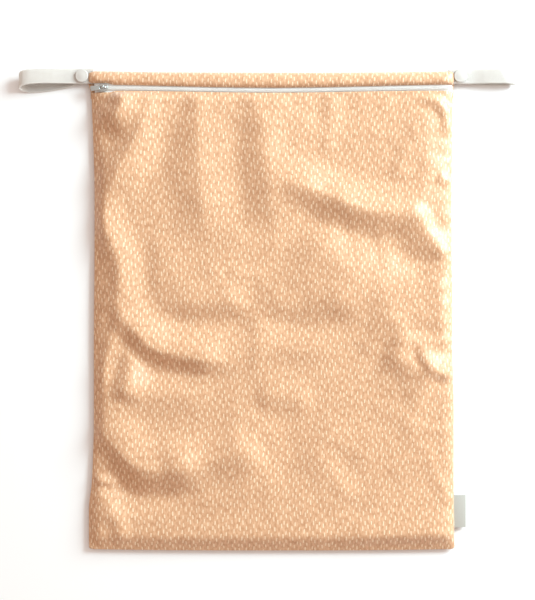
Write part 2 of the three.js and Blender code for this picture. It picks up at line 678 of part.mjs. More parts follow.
// A press snap: a domed cap whose post goes through the upper webbing into the socket, and a
// back cap whose post goes through the lower webbing into the stud.
function makeSnap(end, x) {
  const turned = (profile) => {
    const points = profile.map(([radius, height]) => new THREE.Vector2(radius, height));
    const geometry = new THREE.LatheGeometry(points, ROUND_SIDES);
    return geometry.rotateX(Math.PI / 2).translate(x, loopMiddle, 0);
  };
  const radius = SNAP_DIAMETER / 2;
  const bore = POST_RADIUS + POST_CLEARANCE;
  const nubTop = STUD_UNDER + STUD_FLANGE + NUB_HEIGHT;
  const recessTop = STUD_UNDER + STUD_FLANGE / 2;
  const dome = CAP_DOME - CAP_RIM;
  const cap = [
    [0, nubTop + GAP],
    [POST_RADIUS, nubTop + GAP],
    [POST_RADIUS, CAP_UNDER],
    [radius, CAP_UNDER],
    [radius, CAP_UNDER + CAP_RIM],
    [radius * 0.87, CAP_UNDER + CAP_RIM + dome * 0.55],
    [radius * 0.58, CAP_UNDER + CAP_RIM + dome * 0.88],
    [0, CAP_UNDER + CAP_DOME],
  ];
  const backCap = [
    [0, 0],
    [radius * 0.87, 0],
    [radius, BACK_CAP / 2],
    [radius, BACK_CAP],
    [POST_RADIUS, BACK_CAP],
    [POST_RADIUS, recessTop - GAP],
    [0, recessTop - GAP],
  ];
  const stud = [
    [0, recessTop],
    [bore, recessTop],
    [bore, STUD_UNDER],
    [STUD_RADIUS, STUD_UNDER],
    [STUD_RADIUS, STUD_UNDER + STUD_FLANGE],
    [POST_RADIUS, STUD_UNDER + STUD_FLANGE],
    [POST_RADIUS, nubTop],
    [0, nubTop],
  ];
  const socket = [
    [bore, SOCKET_UNDER],
    [SOCKET_RADIUS, SOCKET_UNDER],
    [SOCKET_RADIUS, SOCKET_UNDER + SOCKET_HEIGHT],
    [bore, SOCKET_UNDER + SOCKET_HEIGHT],
    [bore, SOCKET_UNDER],
  ];
  add("snap_cap_" + end, turned(cap), snapPlastic);
  add("snap_socket_" + end, turned(socket), snapPlastic);
  add("snap_stud_" + end, turned(stud), snapPlastic);
  add("snap_back_cap_" + end, turned(backCap), snapPlastic);
}

// The label is a ribbon folded over at its outer end, held in the side seam.
function makeLabel() {
  const seam = BODY_WIDTH / 2;
  const height = RIM_HEIGHT + LABEL_THICKNESS / 2;
  const course = [
    new THREE.Vector3(seam - LABEL_ROOT, 0, height),
    new THREE.Vector3(seam + GAP, 0, height),
    new THREE.Vector3(seam + LABEL_REACH / 2, 0, height - LABEL_DROOP / 3),
    new THREE.Vector3(seam + LABEL_REACH * 0.9, 0, height - LABEL_DROOP * 0.85),
    new THREE.Vector3(seam + LABEL_REACH, 0, height - LABEL_DROOP),
  ];
  const layer = (over) =>
    [0, 1].map((end) =>
      course.map((point, k) => {
        const thinned = k === course.length - 1 ? over / 2 : over;
        return new THREE.Vector3(point.x, labelLow + end * LABEL_WIDTH, point.z + thinned);
      }),
    );
  add("side_label", shell(layer(LABEL_THICKNESS / 2), layer(-LABEL_THICKNESS / 2)), ribbon);
}

makeBackPanel();
makeFrontPanel();
makeTopStrip();
makeZip();
makeSlider();
makePull();
makeLoop("loop_left", -1, LEFT_REACH, LEFT_LOOP_HEIGHT, LEFT_SKEW, 0);
makeLoop("loop_right", 1, RIGHT_REACH, RIGHT_LOOP_HEIGHT, RIGHT_SKEW, RIGHT_SLANT);
makeLabel();

export default bag;
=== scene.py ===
"""A printed cloth wet bag that lies on its back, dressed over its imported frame.

Lengths in this file are millimetres in the frame's own axes: +X along the zip from its slider,
+Y from the bottom seam to the top seam, +Z up out of the zipped front.
"""

import json
import math

import bpy
import numpy as np
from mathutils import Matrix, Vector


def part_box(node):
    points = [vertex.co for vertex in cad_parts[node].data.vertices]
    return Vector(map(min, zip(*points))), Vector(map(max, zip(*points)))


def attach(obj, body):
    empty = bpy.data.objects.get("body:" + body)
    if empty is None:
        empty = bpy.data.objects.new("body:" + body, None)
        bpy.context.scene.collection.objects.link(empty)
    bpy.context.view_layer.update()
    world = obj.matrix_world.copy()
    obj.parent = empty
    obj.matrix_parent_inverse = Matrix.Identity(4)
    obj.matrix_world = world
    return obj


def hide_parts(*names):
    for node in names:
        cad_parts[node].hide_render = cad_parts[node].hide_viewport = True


bl_info = {
    "name": "Cloth wet bag",
    "version": (1, 0, 0),
    "blender": (4, 5, 0),
    "location": "3D View > Sidebar > Wet bag",
    "description": "A printed cloth wet bag with its zip, webbing loops, press snaps and label",
    "category": "Add Mesh",
}

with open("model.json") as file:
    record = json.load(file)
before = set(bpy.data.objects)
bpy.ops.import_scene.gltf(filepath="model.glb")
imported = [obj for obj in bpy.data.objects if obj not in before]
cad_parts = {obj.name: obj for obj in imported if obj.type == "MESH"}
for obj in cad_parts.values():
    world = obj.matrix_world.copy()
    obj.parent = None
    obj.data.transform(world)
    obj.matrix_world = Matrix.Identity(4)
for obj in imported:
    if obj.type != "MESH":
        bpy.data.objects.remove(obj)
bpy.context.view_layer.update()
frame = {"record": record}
MM = 0.001


def node_box(name):
    """Lowest and highest corner of a frame node, in millimetres."""
    return tuple(np.array(corner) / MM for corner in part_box(name))


# Levels and places that the frame gives
BACK_LOW, BACK_HIGH = node_box("back_panel")
FRONT_LOW, FRONT_HIGH = node_box("front_panel")
STRIP_LOW, STRIP_HIGH = node_box("top_strip")
TAPE_LOW, TAPE_HIGH = node_box("zip_tape_upper")
COIL_LOW, COIL_HIGH = node_box("zip_coil_upper")
SLIDER_LOW, SLIDER_HIGH = node_box("zip_slider")
PULL_LOW, PULL_HIGH = node_box("pull_tab")
LABEL_LOW, LABEL_HIGH = node_box("side_label")
RIM_HEIGHT = FRONT_LOW[2]
SLIDER_MIDDLE = (SLIDER_LOW + SLIDER_HIGH) / 2
HINGE = np.array(frame["record"]["behaviour"]["joints"][0]["pos_m"]) / MM
HINGE_AXIS = np.array(frame["record"]["behaviour"]["joints"][0]["axis"])

# Body
BODY_WIDTH = 350.0
BODY_LENGTH = 460.0
TOP_SAG = 1.5
ZIP_SAG = 2.4
BOTTOM_BULGE = 1.3
CORNER_RADIUS = 3.5
ROLL = 12.0
LEFT_ROLL = 12.0
BOTTOM_ROLL = 16.0
STRIP_ROLL = 7.0
STRIP_CREST = 0.8  # how far the strip's arch stands over the CAD one
STRIP_LEAN = 0.16  # fall of the arch from the zip to the top seam
BACK_CURL = 24.0
HEM_RISE = 34.0
HEM_FLAT = 8.0
HEM_EDGE = 2.5
HEM_LIFT = 0.45  # share of the folds' height that is reached at the hem's own edge
CREST = 2.0  # radius of a fold's crest
CLOTH_THICKNESS = 0.5
HEM_BEND = 0.65  # radius of the cloth's turn at a folded edge
HEM_TURN = 5.0  # cloth turned under at a folded edge
TUCK = ((0.35, 0.22), (1.2, 0.34))  # how far the rim turns in and down to its seam, twice

# Zip
ZIP_DROP = 16.9
HEM = 2.2
HEM_SPREAD = 0.7
SLIDER_HEM = 4.2
HEM_EASE = 6.0
ZIP_HEIGHT = TAPE_HIGH[2] - 0.5
TAPE_THICKNESS = 1.0
COIL_PITCH = 1.27
COIL_WIRE = 0.52

# How far the left seam is drawn in, in millimetres, by percent of the way up the body
LEFT_INSET = (
    (0, 0.0),
    (9.5, 0.1),
    (13.5, 2.4),
    (23, 4.3),
    (45, 4.6),
    (64, 5.2),
    (78, 5.0),
    (90, 3.2),
    (95.2, 1.9),
    (97.2, -0.7),
    (100, -1.4),
)

# The same for the right seam, where less than nothing is let out
RIGHT_INSET = (
    (0, -1.6),
    (14, -0.8),
    (32, -0.7),
    (42, 0.6),
    (52, 0.3),
    (62, 1.0),
    (73, 1.1),
    (91, 0.3),
    (96, -0.5),
    (98.4, -2.0),
    (100, -2.4),
)

# Webbing
WEBBING_WIDTH = 14.5
WEBBING_THICKNESS = 1.2

# Lower left and upper right corner of the body in the photograph, in its pixels
PHOTO_LOW = (88.5, 550.0)
PHOTO_HIGH = (453.5, 70.0)

# The folds of the front. Each is a ridge along a line, or a valley where its rise is negative: its
# rise and the widths of its lower left and its upper right flank in millimetres, and its line's
# points where the photograph shows them, in the photograph's pixels.
FOLD_COLUMNS = ("rise", "below", "above", "line")
FOLDS = (
    # upper left corner
    (8.2, 28, 34, ((153, 72), (150, 92), (146, 110), (139, 131), (128, 153), (116, 177), (105, 202))),
    (12.5, 22, 22, ((125, 62), (124, 84), (123, 98), (119, 112), (108, 126))),
    # upper verticals
    (5.6, 36, 40, ((198, 64), (198, 150), (201, 192), (206, 232))),
    (4.2, 34, 62, ((244, 80), (260, 112), (268, 146), (272, 180), (275, 215))),
    (2.4, 30, 30, ((258, 140), (266, 176), (270, 220))),
    (1.2, 12, 16, ((332, 92), (329, 155))),
    (1.0, 46, 9, ((126, 99), (240, 100), (330, 100))),
    # upper right corner
    (3.4, 9, 7, ((420, 97), (436, 101), (447, 114), (451, 136))),
    (4.2, 70, 28, ((428, 104), (426, 150), (424, 190), (420, 216))),
    (1.8, 7, 8, ((438, 177), (452, 182))),
    # long fold to the right edge
    (7.4, 25, 30, ((284, 180), (302, 187), (321, 193), (345, 203), (367, 210), (392, 213), (417, 211))),
    (5.4, 32, 16, ((409, 207), (420, 222), (431, 240), (452, 265))),
    (-3.2, 34, 26, ((304, 210), (322, 223), (346, 232), (372, 242), (404, 255), (452, 271))),
    # bright plain under it
    (6.2, 80, 96, ((306, 236), (338, 258), (360, 284), (374, 310))),
    (4.2, 44, 62, ((376, 314), (420, 317), (456, 315))),
    # left middle
    (6.2, 17, 26, ((100, 204), (103, 224), (112, 243), (119, 264), (120, 288), (116, 306))),
    (1.5, 14, 36, ((160, 236), (159, 290))),
    (3.4, 24, 50, ((160, 299), (195, 301), (245, 300))),
    (-2.2, 24, 16, ((160, 320), (200, 321), (250, 320))),
    (2.2, 20, 40, ((260, 299), (300, 298), (356, 300))),
    (-1.6, 20, 16, ((255, 323), (300, 324), (350, 323))),
    # crease in the left middle
    (7.2, 17, 34, ((116, 302), (125, 318), (137, 333), (150, 346), (166, 353), (190, 358), (232, 361))),
    (-3.6, 22, 16, ((124, 344), (138, 358), (156, 367), (176, 370), (196, 370))),
    (5.4, 17, 22, ((127, 347), (131, 362), (129, 380), (124, 398))),
    (2.6, 10, 12, ((121, 312), (113, 335), (106, 362), (100, 384))),
    (2.8, 24, 24, ((98, 391), (140, 395), (205, 399))),
    # lower left
    (8.4, 27, 44, ((92, 429), (110, 441), (124, 457), (146, 469), (172, 470), (194, 467))),
    (6.2, 30, 34, ((170, 467), (205, 462), (232, 456), (256, 448))),
    (-5.0, 20, 20, ((97, 438), (105, 452), (112, 470), (120, 486), (136, 497), (158, 497), (184, 492))),
    (3.0, 6, 10, ((92, 479), (104, 480), (116, 484))),
    (2.4, 12, 12, ((104, 510), (117, 519), (121, 540))),
    (1.6, 16, 24, ((196, 502), (225, 498), (252, 489))),
    # middle
    (3.0, 40, 36, ((252, 414), (254, 495))),
    (2.6, 20, 28, ((258, 394), (284, 398), (310, 401))),
    (0.6, 10, 14, ((257, 304), (257, 372))),
    (1.6, 16, 24, ((240, 350), (290, 349), (340, 350))),
    # right middle
    (1.0, 12, 14, ((397, 318), (395, 348))),
    (1.8, 12, 10, ((398, 340), (425, 341), (452, 343))),
    (6.2, 40, 34, ((388, 350), (404, 360), (420, 370), (436, 379))),
    (4.0, 9, 20, ((421, 346), (427, 361), (438, 371), (455, 375))),
    (1.4, 18, 30, ((318, 433), (345, 445), (372, 458))),
    (1.8, 34, 18, ((310, 446), (328, 468), (352, 500))),
    (2.0, 12, 50, ((350, 537), (400, 534), (460, 531))),
    (3.0, 13, 70, ((88, 537), (270, 538), (460, 536))),
)
UPPER_RIGHT = np.array((0.87, 0.5))

# Course of a loop from the seam out along the upper layer, round the far end and back
# underneath. out is a share of the named measure, up a share of the height between the two
# levels of the named kind, and skew the share of the under layer's shift.
LOOP_COURSE = (
    ("root", -1.0, "snap", 1.0, 0.0),
    ("snap", 0.0, "snap", 1.0, 0.0),
    ("snap", 1.0, "snap", 1.0, 0.0),
    ("snap", 2.0, "snap", 1.0, 0.0),
    ("reach", 0.36, "far", 0.62, 0.0),
    ("reach", 0.55, "far", 0.82, 0.02),
    ("reach", 0.75, "far", 0.96, 0.08),
    ("reach", 0.88, "far", 0.98, 0.2),
    ("reach", 0.965, "far", 0.84, 0.38),
    ("reach", 0.997, "far", 0.52, 0.62),
    ("reach", 0.965, "far", 0.2, 0.86),
    ("reach", 0.88, "far", 0.035, 1.0),
    ("reach", 0.7, "far", 0.0, 0.94),
    ("reach", 0.45, "far", 0.0, 0.66),
    ("reach", 0.3, "far", 0.06, 0.42),
    ("snap", 1.9, "snap", 0.0, 0.2),
    ("snap", 1.0, "snap", 0.0, 0.05),
    ("snap", 0.13, "snap", 0.0, 0.0),
)


# Numbers and curves


def linear(code):
    """An sRGB hex colour as linear red, green and blue."""
    srgb = np.array([int(code[k : k + 2], 16) for k in (1, 3, 5)]) / 255
    return tuple(np.where(srgb <= 0.04045, srgb / 12.92, ((srgb + 0.055) / 1.055) ** 2.4))


def smooth(value):
    """0 under 0, 1 over 1, and three squares less two cubes of the value between."""
    value = np.clip(value, 0, 1)
    return value * value * (3 - 2 * value)


def mix(low, high, share):
    """The value that lies at a share of the way from low to high."""
    return low + (high - low) * share


def unit(vectors):
    """The same vectors, each with a length of 1."""
    return vectors / np.maximum(np.linalg.norm(vectors, axis=-1, keepdims=True), 1e-12)


def smooth_curve(points, count):
    """Catmull-Rom curve through the points, each stretch a cubic of the share between two
    neighbours whose slopes are the chord across each point, sampled at even lengths."""
    points = np.asarray(points, float)
    gaps = np.sqrt(np.linalg.norm(np.diff(points, axis=0), axis=1))
    knots = np.concatenate([[0], np.cumsum(gaps)])
    slopes = np.gradient(points, knots, axis=0)
    fine = np.linspace(0, knots[-1], 60 * len(points))
    k = np.clip(np.searchsorted(knots, fine, side="right") - 1, 0, len(points) - 2)
    span = (knots[k + 1] - knots[k])[:, None]
    t = (fine - knots[k])[:, None] / span
    curve = (
        (2 * t**3 - 3 * t**2 + 1) * points[k]
        + (t**3 - 2 * t**2 + t) * span * slopes[k]
        + (3 * t**2 - 2 * t**3) * points[k + 1]
        + (t**3 - t**2) * span * slopes[k + 1]
    )
    length = np.concatenate([[0], np.cumsum(np.linalg.norm(np.diff(curve, axis=0), axis=1))])
    even = np.linspace(0, length[-1], count)
    return np.stack([np.interp(even, length, axis) for axis in curve.T], axis=1)


# Outline of the body in plan. A bow is 0 at both corners and 1 along the middle of an edge.


def bow(share, power):
    """1 less a power of the distance from the middle."""
    return 1 - np.abs(2 * share - 1) ** power


def corner_cut(distance):
    """What a corner's arc takes off an edge at a distance from the corner's point."""
    left = 1 - np.clip(distance / CORNER_RADIUS, 0, 1)
    return (1 - math.sqrt(0.5)) * CORNER_RADIUS * left**2


def drawn_in(y, inset):
    """What a side seam gives up of the body's half width at a height up the body."""
    cut = corner_cut(BODY_LENGTH / 2 - np.abs(y))
    return np.interp(50 + 100 * y / BODY_LENGTH, *smooth_curve(inset, 200).T) + cut


def left_edge(y):
    return drawn_in(y, LEFT_INSET) - BODY_WIDTH / 2


def right_edge(y):
    return BODY_WIDTH / 2 - drawn_in(y, RIGHT_INSET)


def bottom_edge(share):
    cut = corner_cut(BODY_WIDTH * np.minimum(share, 1 - share))
    return -BODY_LENGTH / 2 - BOTTOM_BULGE * bow(share, 3) + cut


def top_edge(share):
    cut = corner_cut(BODY_WIDTH * np.minimum(share, 1 - share)) / 3
    return BODY_LENGTH / 2 - TOP_SAG * bow(share, 3) - cut


def zip_line(share):
    return BODY_LENGTH / 2 - ZIP_DROP - ZIP_SAG * np.sin(np.pi * share) ** 2


def hem_distance(share):
    """Middle of the zip to a folded edge: wide round the slider, then narrow, and a little wider
    towards both ends."""
    past = SLIDER_HIGH[0] + BODY_WIDTH / 2
    open_edge = HEM + HEM_SPREAD * np.abs(2 * share - 1) ** 3
    return mix(SLIDER_HEM, open_edge, smooth((BODY_WIDTH * share - past) / HEM_EASE))


def roll(distance, width):
    """A quarter of an ellipse: 0 at the seam and 1 once past the roll's width."""
    return np.sqrt(1 - (1 - np.clip(distance / width, 0, 1)) ** 2)


def steep_roll(distance, width):
    """A slope that eases off: 0 at the seam and 1 once past the roll's width."""
    return 1 - (1 - np.clip(distance / width, 0, 1)) ** 1.7


def side_roll(share):
    return roll(BODY_WIDTH * share, ROLL) * roll(BODY_WIDTH * (1 - share), ROLL)


def place(share, y, height):
    """Points on the body at a share of its width and a distance up its length."""
    x = mix(left_edge(y), right_edge(y), share)
    return np.stack(np.broadcast_arrays(x, y, height), axis=-1).astype(float)


def rolled_shares(length, step, start, end, fine=9):
    """Shares along an edge: drawn together as a cosine in a roll at either end, even between."""
    rim = 1 - np.cos(np.linspace(0, np.pi / 2, fine, endpoint=False))
    even = np.linspace(start / length, 1 - end / length, int(length / step))
    head = rim * start / length if start else []
    tail = 1 - rim[::-1] * end / length if end else []
    return np.concatenate([head, even, tail])


# The cloth's relief


def from_photo(points):
    """Points of the photograph as places on the body in plan."""
    share = (np.array(points) - PHOTO_LOW) / np.subtract(PHOTO_HIGH, PHOTO_LOW)
    return (share - 0.5) * (BODY_WIDTH, BODY_LENGTH)


def fold_relief(x, y, folds):
    """Height that folds add. Each falls off to both sides of its rounded crest, half as a smooth
    step and half as a square, so that its foot is soft, and it fades at both ends."""
    height = np.zeros_like(x)
    for fold in folds:
        knots = fold["line"]
        line = smooth_curve(knots, 28) if len(knots) > 2 else np.linspace(*knots, 8)
        steps = np.diff(line, axis=0)
        lengths = np.hypot(*steps.T)
        across = np.stack([-steps[:, 1], steps[:, 0]], axis=-1) / lengths[:, None]
        across *= np.sign((across @ UPPER_RIGHT).sum())
        reach = max(fold["below"], fold["above"])
        low, high = line.min(axis=0) - reach, line.max(axis=0) + reach
        near = (x > low[0]) & (x < high[0]) & (y > low[1]) & (y < high[1])
        spot = np.stack([x[near], y[near]], axis=-1)
        best = np.full(len(spot), np.inf)
        upper = np.zeros(len(spot), bool)
        share = np.zeros(len(spot))
        last = len(steps) - 1
        for k, (step, length, normal) in enumerate(zip(steps, lengths, across)):
            offset = spot - line[k]
            part = offset @ step / length**2
            part = np.clip(part, -np.inf if k == 0 else 0, np.inf if k == last else 1)
            offset = offset - part[:, None] * step
            distance = np.hypot(*offset.T)
            closer = distance < best
            best[closer] = distance[closer]
            upper[closer] = (offset @ normal)[closer] > 0
            share[closer] = ((k + part) / len(steps))[closer]
        away = np.clip((np.hypot(best, CREST) - CREST) / np.where(upper, fold["above"], fold["below"]), 0, 1)
        fade = smooth((share + 0.14) / 0.36) * smooth((1.14 - share) / 0.36)
        height[near] += fold["rise"] * fade * (0.5 * (1 - smooth(away)) + 0.5 * (1 - away) ** 2)
    return height


def small_wrinkles(x, y, count, seed, rise):
    """Many short shallow ridges, each at a seeded place and turned at a seeded angle."""
    chance = np.random.default_rng(seed)
    folds = []
    for _ in range(count):
        middle = chance.uniform((-0.5, -0.5), (0.5, 0.46)) * (BODY_WIDTH, BODY_LENGTH)
        turn = chance.uniform(0, math.pi)
        half = chance.uniform(14, 45) * np.array([math.cos(turn), math.sin(turn)])
        bow_out = np.array([-half[1], half[0]]) * chance.uniform(-0.3, 0.3)
        line = np.stack([middle - half, middle + bow_out, middle + half])
        below, above = chance.uniform(8, 22, 2)
        folds.append({"rise": rise * chance.uniform(-0.8, 1), "below": below, "above": above, "line": line})
    return fold_relief(x, y, folds)


def seam_pucker(along, distance, rise, wavelength, reach):
    """Waves along a seam that die away from it: a sum of two sines of unlike length."""
    waves = np.sin(2 * np.pi * along / wavelength) + 0.7 * np.sin(2 * np.pi * along / (1.73 * wavelength) + 1.1)
    return rise * waves * np.exp(-distance / reach)


# Meshes


def grid_faces(rows, columns, close_rows=False, close_columns=False):
    """Quads between neighbouring points of a grid, closed round on itself where asked."""
    row = np.arange(rows if close_rows else rows - 1)[:, None]
    column = np.arange(columns if close_columns else columns - 1)[None, :]
    up = (row + 1) % rows
    right = (column + 1) % columns
    corners = (row * columns + column, row * columns + right, up * columns + right, up * columns + column)
    return np.stack(np.broadcast_arrays(*corners), axis=-1).reshape(-1, 4)


def make_piece(name, parts, material, body="bag", node=None):
    """One object from parts, each a dictionary of points in millimetres, faces, and the flat
    coordinates in millimetres that its pattern follows. It rides on its body and stands for its
    frame node."""
    points = np.concatenate([part["points"].reshape(-1, 3) for part in parts])
    starts = np.cumsum([0] + [part["points"].reshape(-1, 3).shape[0] for part in parts])
    faces = [tuple(face + start) for part, start in zip(parts, starts) for group in part["faces"] for face in group]
    mesh = bpy.data.meshes.new(name)
    mesh.from_pydata((points * MM).tolist(), [], faces)
    mesh.polygons.foreach_set("use_smooth", np.ones(len(mesh.polygons), bool))
    if all("flat" in part for part in parts):
        flat = np.concatenate([part["flat"].reshape(-1, 2) for part in parts])
        loops = np.zeros(len(mesh.loops), np.int32)
        mesh.loops.foreach_get("vertex_index", loops)
        layer = mesh.uv_layers.new(name="flat")
        layer.uv.foreach_set("vector", flat[loops].astype(np.float32).ravel())
    mesh.materials.append(material)
    mesh.update()
    piece = bpy.data.objects.new(name, mesh)
    bpy.context.scene.collection.objects.link(piece)
    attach(piece, body)
    if node:
        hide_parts(*([node] if isinstance(node, str) else node))
    return piece


def grid_part(points, flat=None, close_rows=False, close_columns=False):
    """A part whose points are a grid."""
    rows, columns = points.shape[:2]
    part = {"points": points, "faces": [grid_faces(rows, columns, close_rows, close_columns)]}
    if flat is not None:
        part["flat"] = flat
    return part


def unrolled(points, column=None):
    """Flat coordinates of a cloth grid: the length along each row from the middle column, and
    the length up each column, both over the mean height so that the pattern doesn't shear."""
    middle = points.shape[1] // 2 if column is None else column
    level = points.copy()
    level[..., 2] = points[..., 2].mean(axis=0)
    across = np.linalg.norm(np.diff(level, axis=1), axis=2)
    level[..., 2] = points[..., 2].mean(axis=1, keepdims=True)
    up = np.linalg.norm(np.diff(level, axis=0), axis=2)
    u = np.concatenate([np.zeros((points.shape[0], 1)), np.cumsum(across, axis=1)], axis=1)
    v = np.concatenate([np.zeros((1, points.shape[1])), np.cumsum(up, axis=0)], axis=0)
    return np.stack([u - u[:, middle : middle + 1], v], axis=-1)


def swept_part(centres, sides, ups, section, caps=True):
    """A bar whose closed section of (across, over) points follows a line of centres."""
    across = np.asarray(section)[None, :, 0:1]
    over = np.asarray(section)[None, :, 1:2]
    points = centres[:, None] + sides[:, None] * across + ups[:, None] * over
    rows, columns = points.shape[:2]
    length = np.concatenate([[0], np.cumsum(np.linalg.norm(np.diff(centres, axis=0), axis=1))])
    flat = np.stack(np.broadcast_arrays(across[0, None, :, 0], length[:, None]), axis=-1)
    part = grid_part(points, flat.astype(float), close_columns=True)
    if caps:
        part["faces"].append([np.arange(columns)[::-1], (rows - 1) * columns + np.arange(columns)])
    return part


def turned_part(profile, middle, sides=48):
    """A profile of (radius, height) points turned round an upright line at middle."""
    angle = np.linspace(0, 2 * np.pi, sides, endpoint=False)
    profile = np.asarray(profile, float)
    ring = np.stack([np.cos(angle), np.sin(angle)], axis=-1)
    points = np.zeros((len(profile), sides, 3))
    points[..., :2] = profile[:, None, 0:1] * ring + np.asarray(middle)[:2]
    points[..., 2] = profile[:, 1:2]
    part = grid_part(points, close_columns=True)
    part["faces"].append([np.arange(sides)[::-1], (len(profile) - 1) * sides + np.arange(sides)])
    return part


def rounded_profile(outline, radius, low, high, steps=5):
    """A closed outline in plan as rings between two heights, drawn in along its own normals as a
    quarter circle at both rims."""
    outline = np.asarray(outline, float)
    before, after = np.roll(outline, 1, axis=0), np.roll(outline, -1, axis=0)
    tangent = unit(after - before)
    normal = np.stack([tangent[:, 1], -tangent[:, 0]], axis=-1)
    angle = np.linspace(0, np.pi / 2, steps)
    draw = np.concatenate([1 - np.sin(angle), (1 - np.sin(angle))[::-1]]) * radius
    height = np.concatenate([low + radius * (1 - np.cos(angle)), (high - radius * (1 - np.cos(angle)))[::-1]])
    rings = outline[None] - normal[None] * draw[:, None, None]
    heights = np.broadcast_to(height[:, None, None], rings.shape[:2] + (1,))
    return np.concatenate([rings, heights], axis=-1)


def plate_part(outline, radius, low, high, middle=(0, 0, 0)):
    """A flat plate with rounded rims and flat faces."""
    rings = rounded_profile(outline, radius, low, high) + np.asarray(middle)
    count = rings.shape[1]
    part = grid_part(rings, close_columns=True)
    part["faces"].append([np.arange(count)[::-1], (len(rings) - 1) * count + np.arange(count)])
    return part


def round_outline(points, radius, steps=4):
    """A polygon with each corner cut as a short arc between points at the radius from it."""
    points = np.asarray(points, float)
    before, after = np.roll(points, 1, axis=0), np.roll(points, -1, axis=0)
    start = points + unit(before - points) * radius
    end = points + unit(after - points) * radius
    t = np.linspace(0, 1, steps)[None, :, None]
    curve = (1 - t) ** 2 * start[:, None] + 2 * t * (1 - t) * points[:, None] + t**2 * end[:, None]
    return curve.reshape(-1, 2)


def solidify(piece, thickness):
    """Gives a sheet its thickness, on its inner side."""
    modifier = piece.modifiers.new("thickness", "SOLIDIFY")
    modifier.thickness = thickness * MM
    modifier.offset = -1
    modifier.use_even_offset = False


# Cloth panels


def with_tucks(points, left, right, bottom, top):
    """The grid with its rims turned in to their seams, on the sides that are asked for."""

    def tucked(edge, inward):
        steps, inside, down = [], 0, 0
        for move, drop in TUCK:
            inside, down = inside + move, down + drop
            steps.append(edge + np.array([inward[0] * inside, inward[1] * inside, -down]))
        return steps

    if left:
        points = np.stack(tucked(points[:, 0], (1, 0))[::-1] + list(points.swapaxes(0, 1)), axis=1)
    if right:
        points = np.stack(list(points.swapaxes(0, 1)) + tucked(points[:, -1], (-1, 0)), axis=1)
    if bottom:
        points = np.stack(tucked(points[0], (0, 1))[::-1] + list(points), axis=0)
    if top:
        points = np.stack(list(points) + tucked(points[-1], (0, -1)), axis=0)
    return points


def hem_lines(edge, side):
    """Lines of cloth turned under at a folded edge, which faces up the bag for a side of 1."""
    angles = np.linspace(0, np.pi, 8)[1:]
    lines = [
        edge + np.array([0, side * HEM_BEND * math.sin(angle), -HEM_BEND * (1 - math.cos(angle))])
        for angle in angles
    ]
    return lines + [lines[-1] + np.array([0, -side * HEM_TURN * share, 0]) for share in (0.5, 1)]


def make_front_panel(sizes, material):
    """The front: flat in plan, as high as the puff and its folds, rolled down to three seams and
    turned under at the zip."""
    hem_height = ZIP_HEIGHT + TAPE_THICKNESS / 2 + 1.5
    columns = rolled_shares(BODY_WIDTH, sizes.cell, LEFT_ROLL, ROLL)
    rows = rolled_shares(BODY_LENGTH, sizes.cell, BOTTOM_ROLL, 0)
    share, up = np.meshgrid(columns, rows)
    bottom = bottom_edge(share)
    hem = zip_line(share) - hem_distance(share) - HEM_BEND
    y = mix(bottom, hem, up)
    x = place(share, y, 0)[..., 0]
    folds = [dict(zip(FOLD_COLUMNS, row)) for row in FOLDS]
    folds = [{**fold, "line": from_photo(fold["line"])} for fold in folds]
    relief = fold_relief(x, y, folds) * sizes.fold_rise
    relief += small_wrinkles(x, y, sizes.wrinkles, 7, sizes.wrinkle_rise)
    side = np.minimum(share, 1 - share) * BODY_WIDTH
    relief += seam_pucker(y, side, 0.5, 17, 11)
    relief += seam_pucker(x, y - bottom, 0.5, 21, 10)
    relief += seam_pucker(x, hem - y, 0.35, 26, 16)
    full = mix(hem_height, sizes.puff, smooth((hem - y) / HEM_RISE))
    full += relief * mix(smooth((hem - y) / HEM_FLAT), smooth((hem - y) / HEM_EDGE), HEM_LIFT)
    sides = steep_roll(BODY_WIDTH * share, LEFT_ROLL) * roll(BODY_WIDTH * (1 - share), ROLL)
    rolled = sides * steep_roll(y - bottom, BOTTOM_ROLL)
    points = place(share, y, mix(RIM_HEIGHT, full, rolled))
    points = np.stack(list(points) + hem_lines(points[-1], 1), axis=0)
    points = with_tucks(points, True, True, True, False)
    piece = make_piece("front_cloth", [grid_part(points, unrolled(points))], material, node="front_panel")
    solidify(piece, CLOTH_THICKNESS)


def make_top_strip(sizes, material):
    """The strip over the zip: a low arch from its folded edge to the top seam."""
    hem_height = ZIP_HEIGHT + TAPE_THICKNESS / 2 + 1.5
    columns = rolled_shares(BODY_WIDTH, sizes.cell, ROLL, ROLL)
    width = ZIP_DROP - HEM
    rows = rolled_shares(width, 0.7, 0, STRIP_ROLL)
    share, up = np.meshgrid(columns, rows)
    top = top_edge(share)
    hem = zip_line(share) + hem_distance(share) + HEM_BEND + 0.4
    y = mix(hem, top, up)
    x = place(share, y, 0)[..., 0]
    crest = STRIP_HIGH[2] + seam_pucker(x, 0, 0.22, 31, 1) + seam_pucker(x, top - y, 0.2, 13, 5)
    lean = STRIP_LEAN * ((hem + top) / 2 - y)
    full = mix(hem_height, crest + STRIP_CREST + lean, roll(y - hem, 0.42 * (top - hem)))
    points = place(share, y, mix(RIM_HEIGHT, full, side_roll(share) * roll(top - y, STRIP_ROLL)))
    points = np.stack(hem_lines(points[0], -1)[::-1] + list(points), axis=0)
    points = with_tucks(points, True, True, False, True)
    flat = unrolled(points) + np.array([61.0, 37.0])
    piece = make_piece("strip_cloth", [grid_part(points, flat)], material, node="top_strip")
    solidify(piece, CLOTH_THICKNESS)


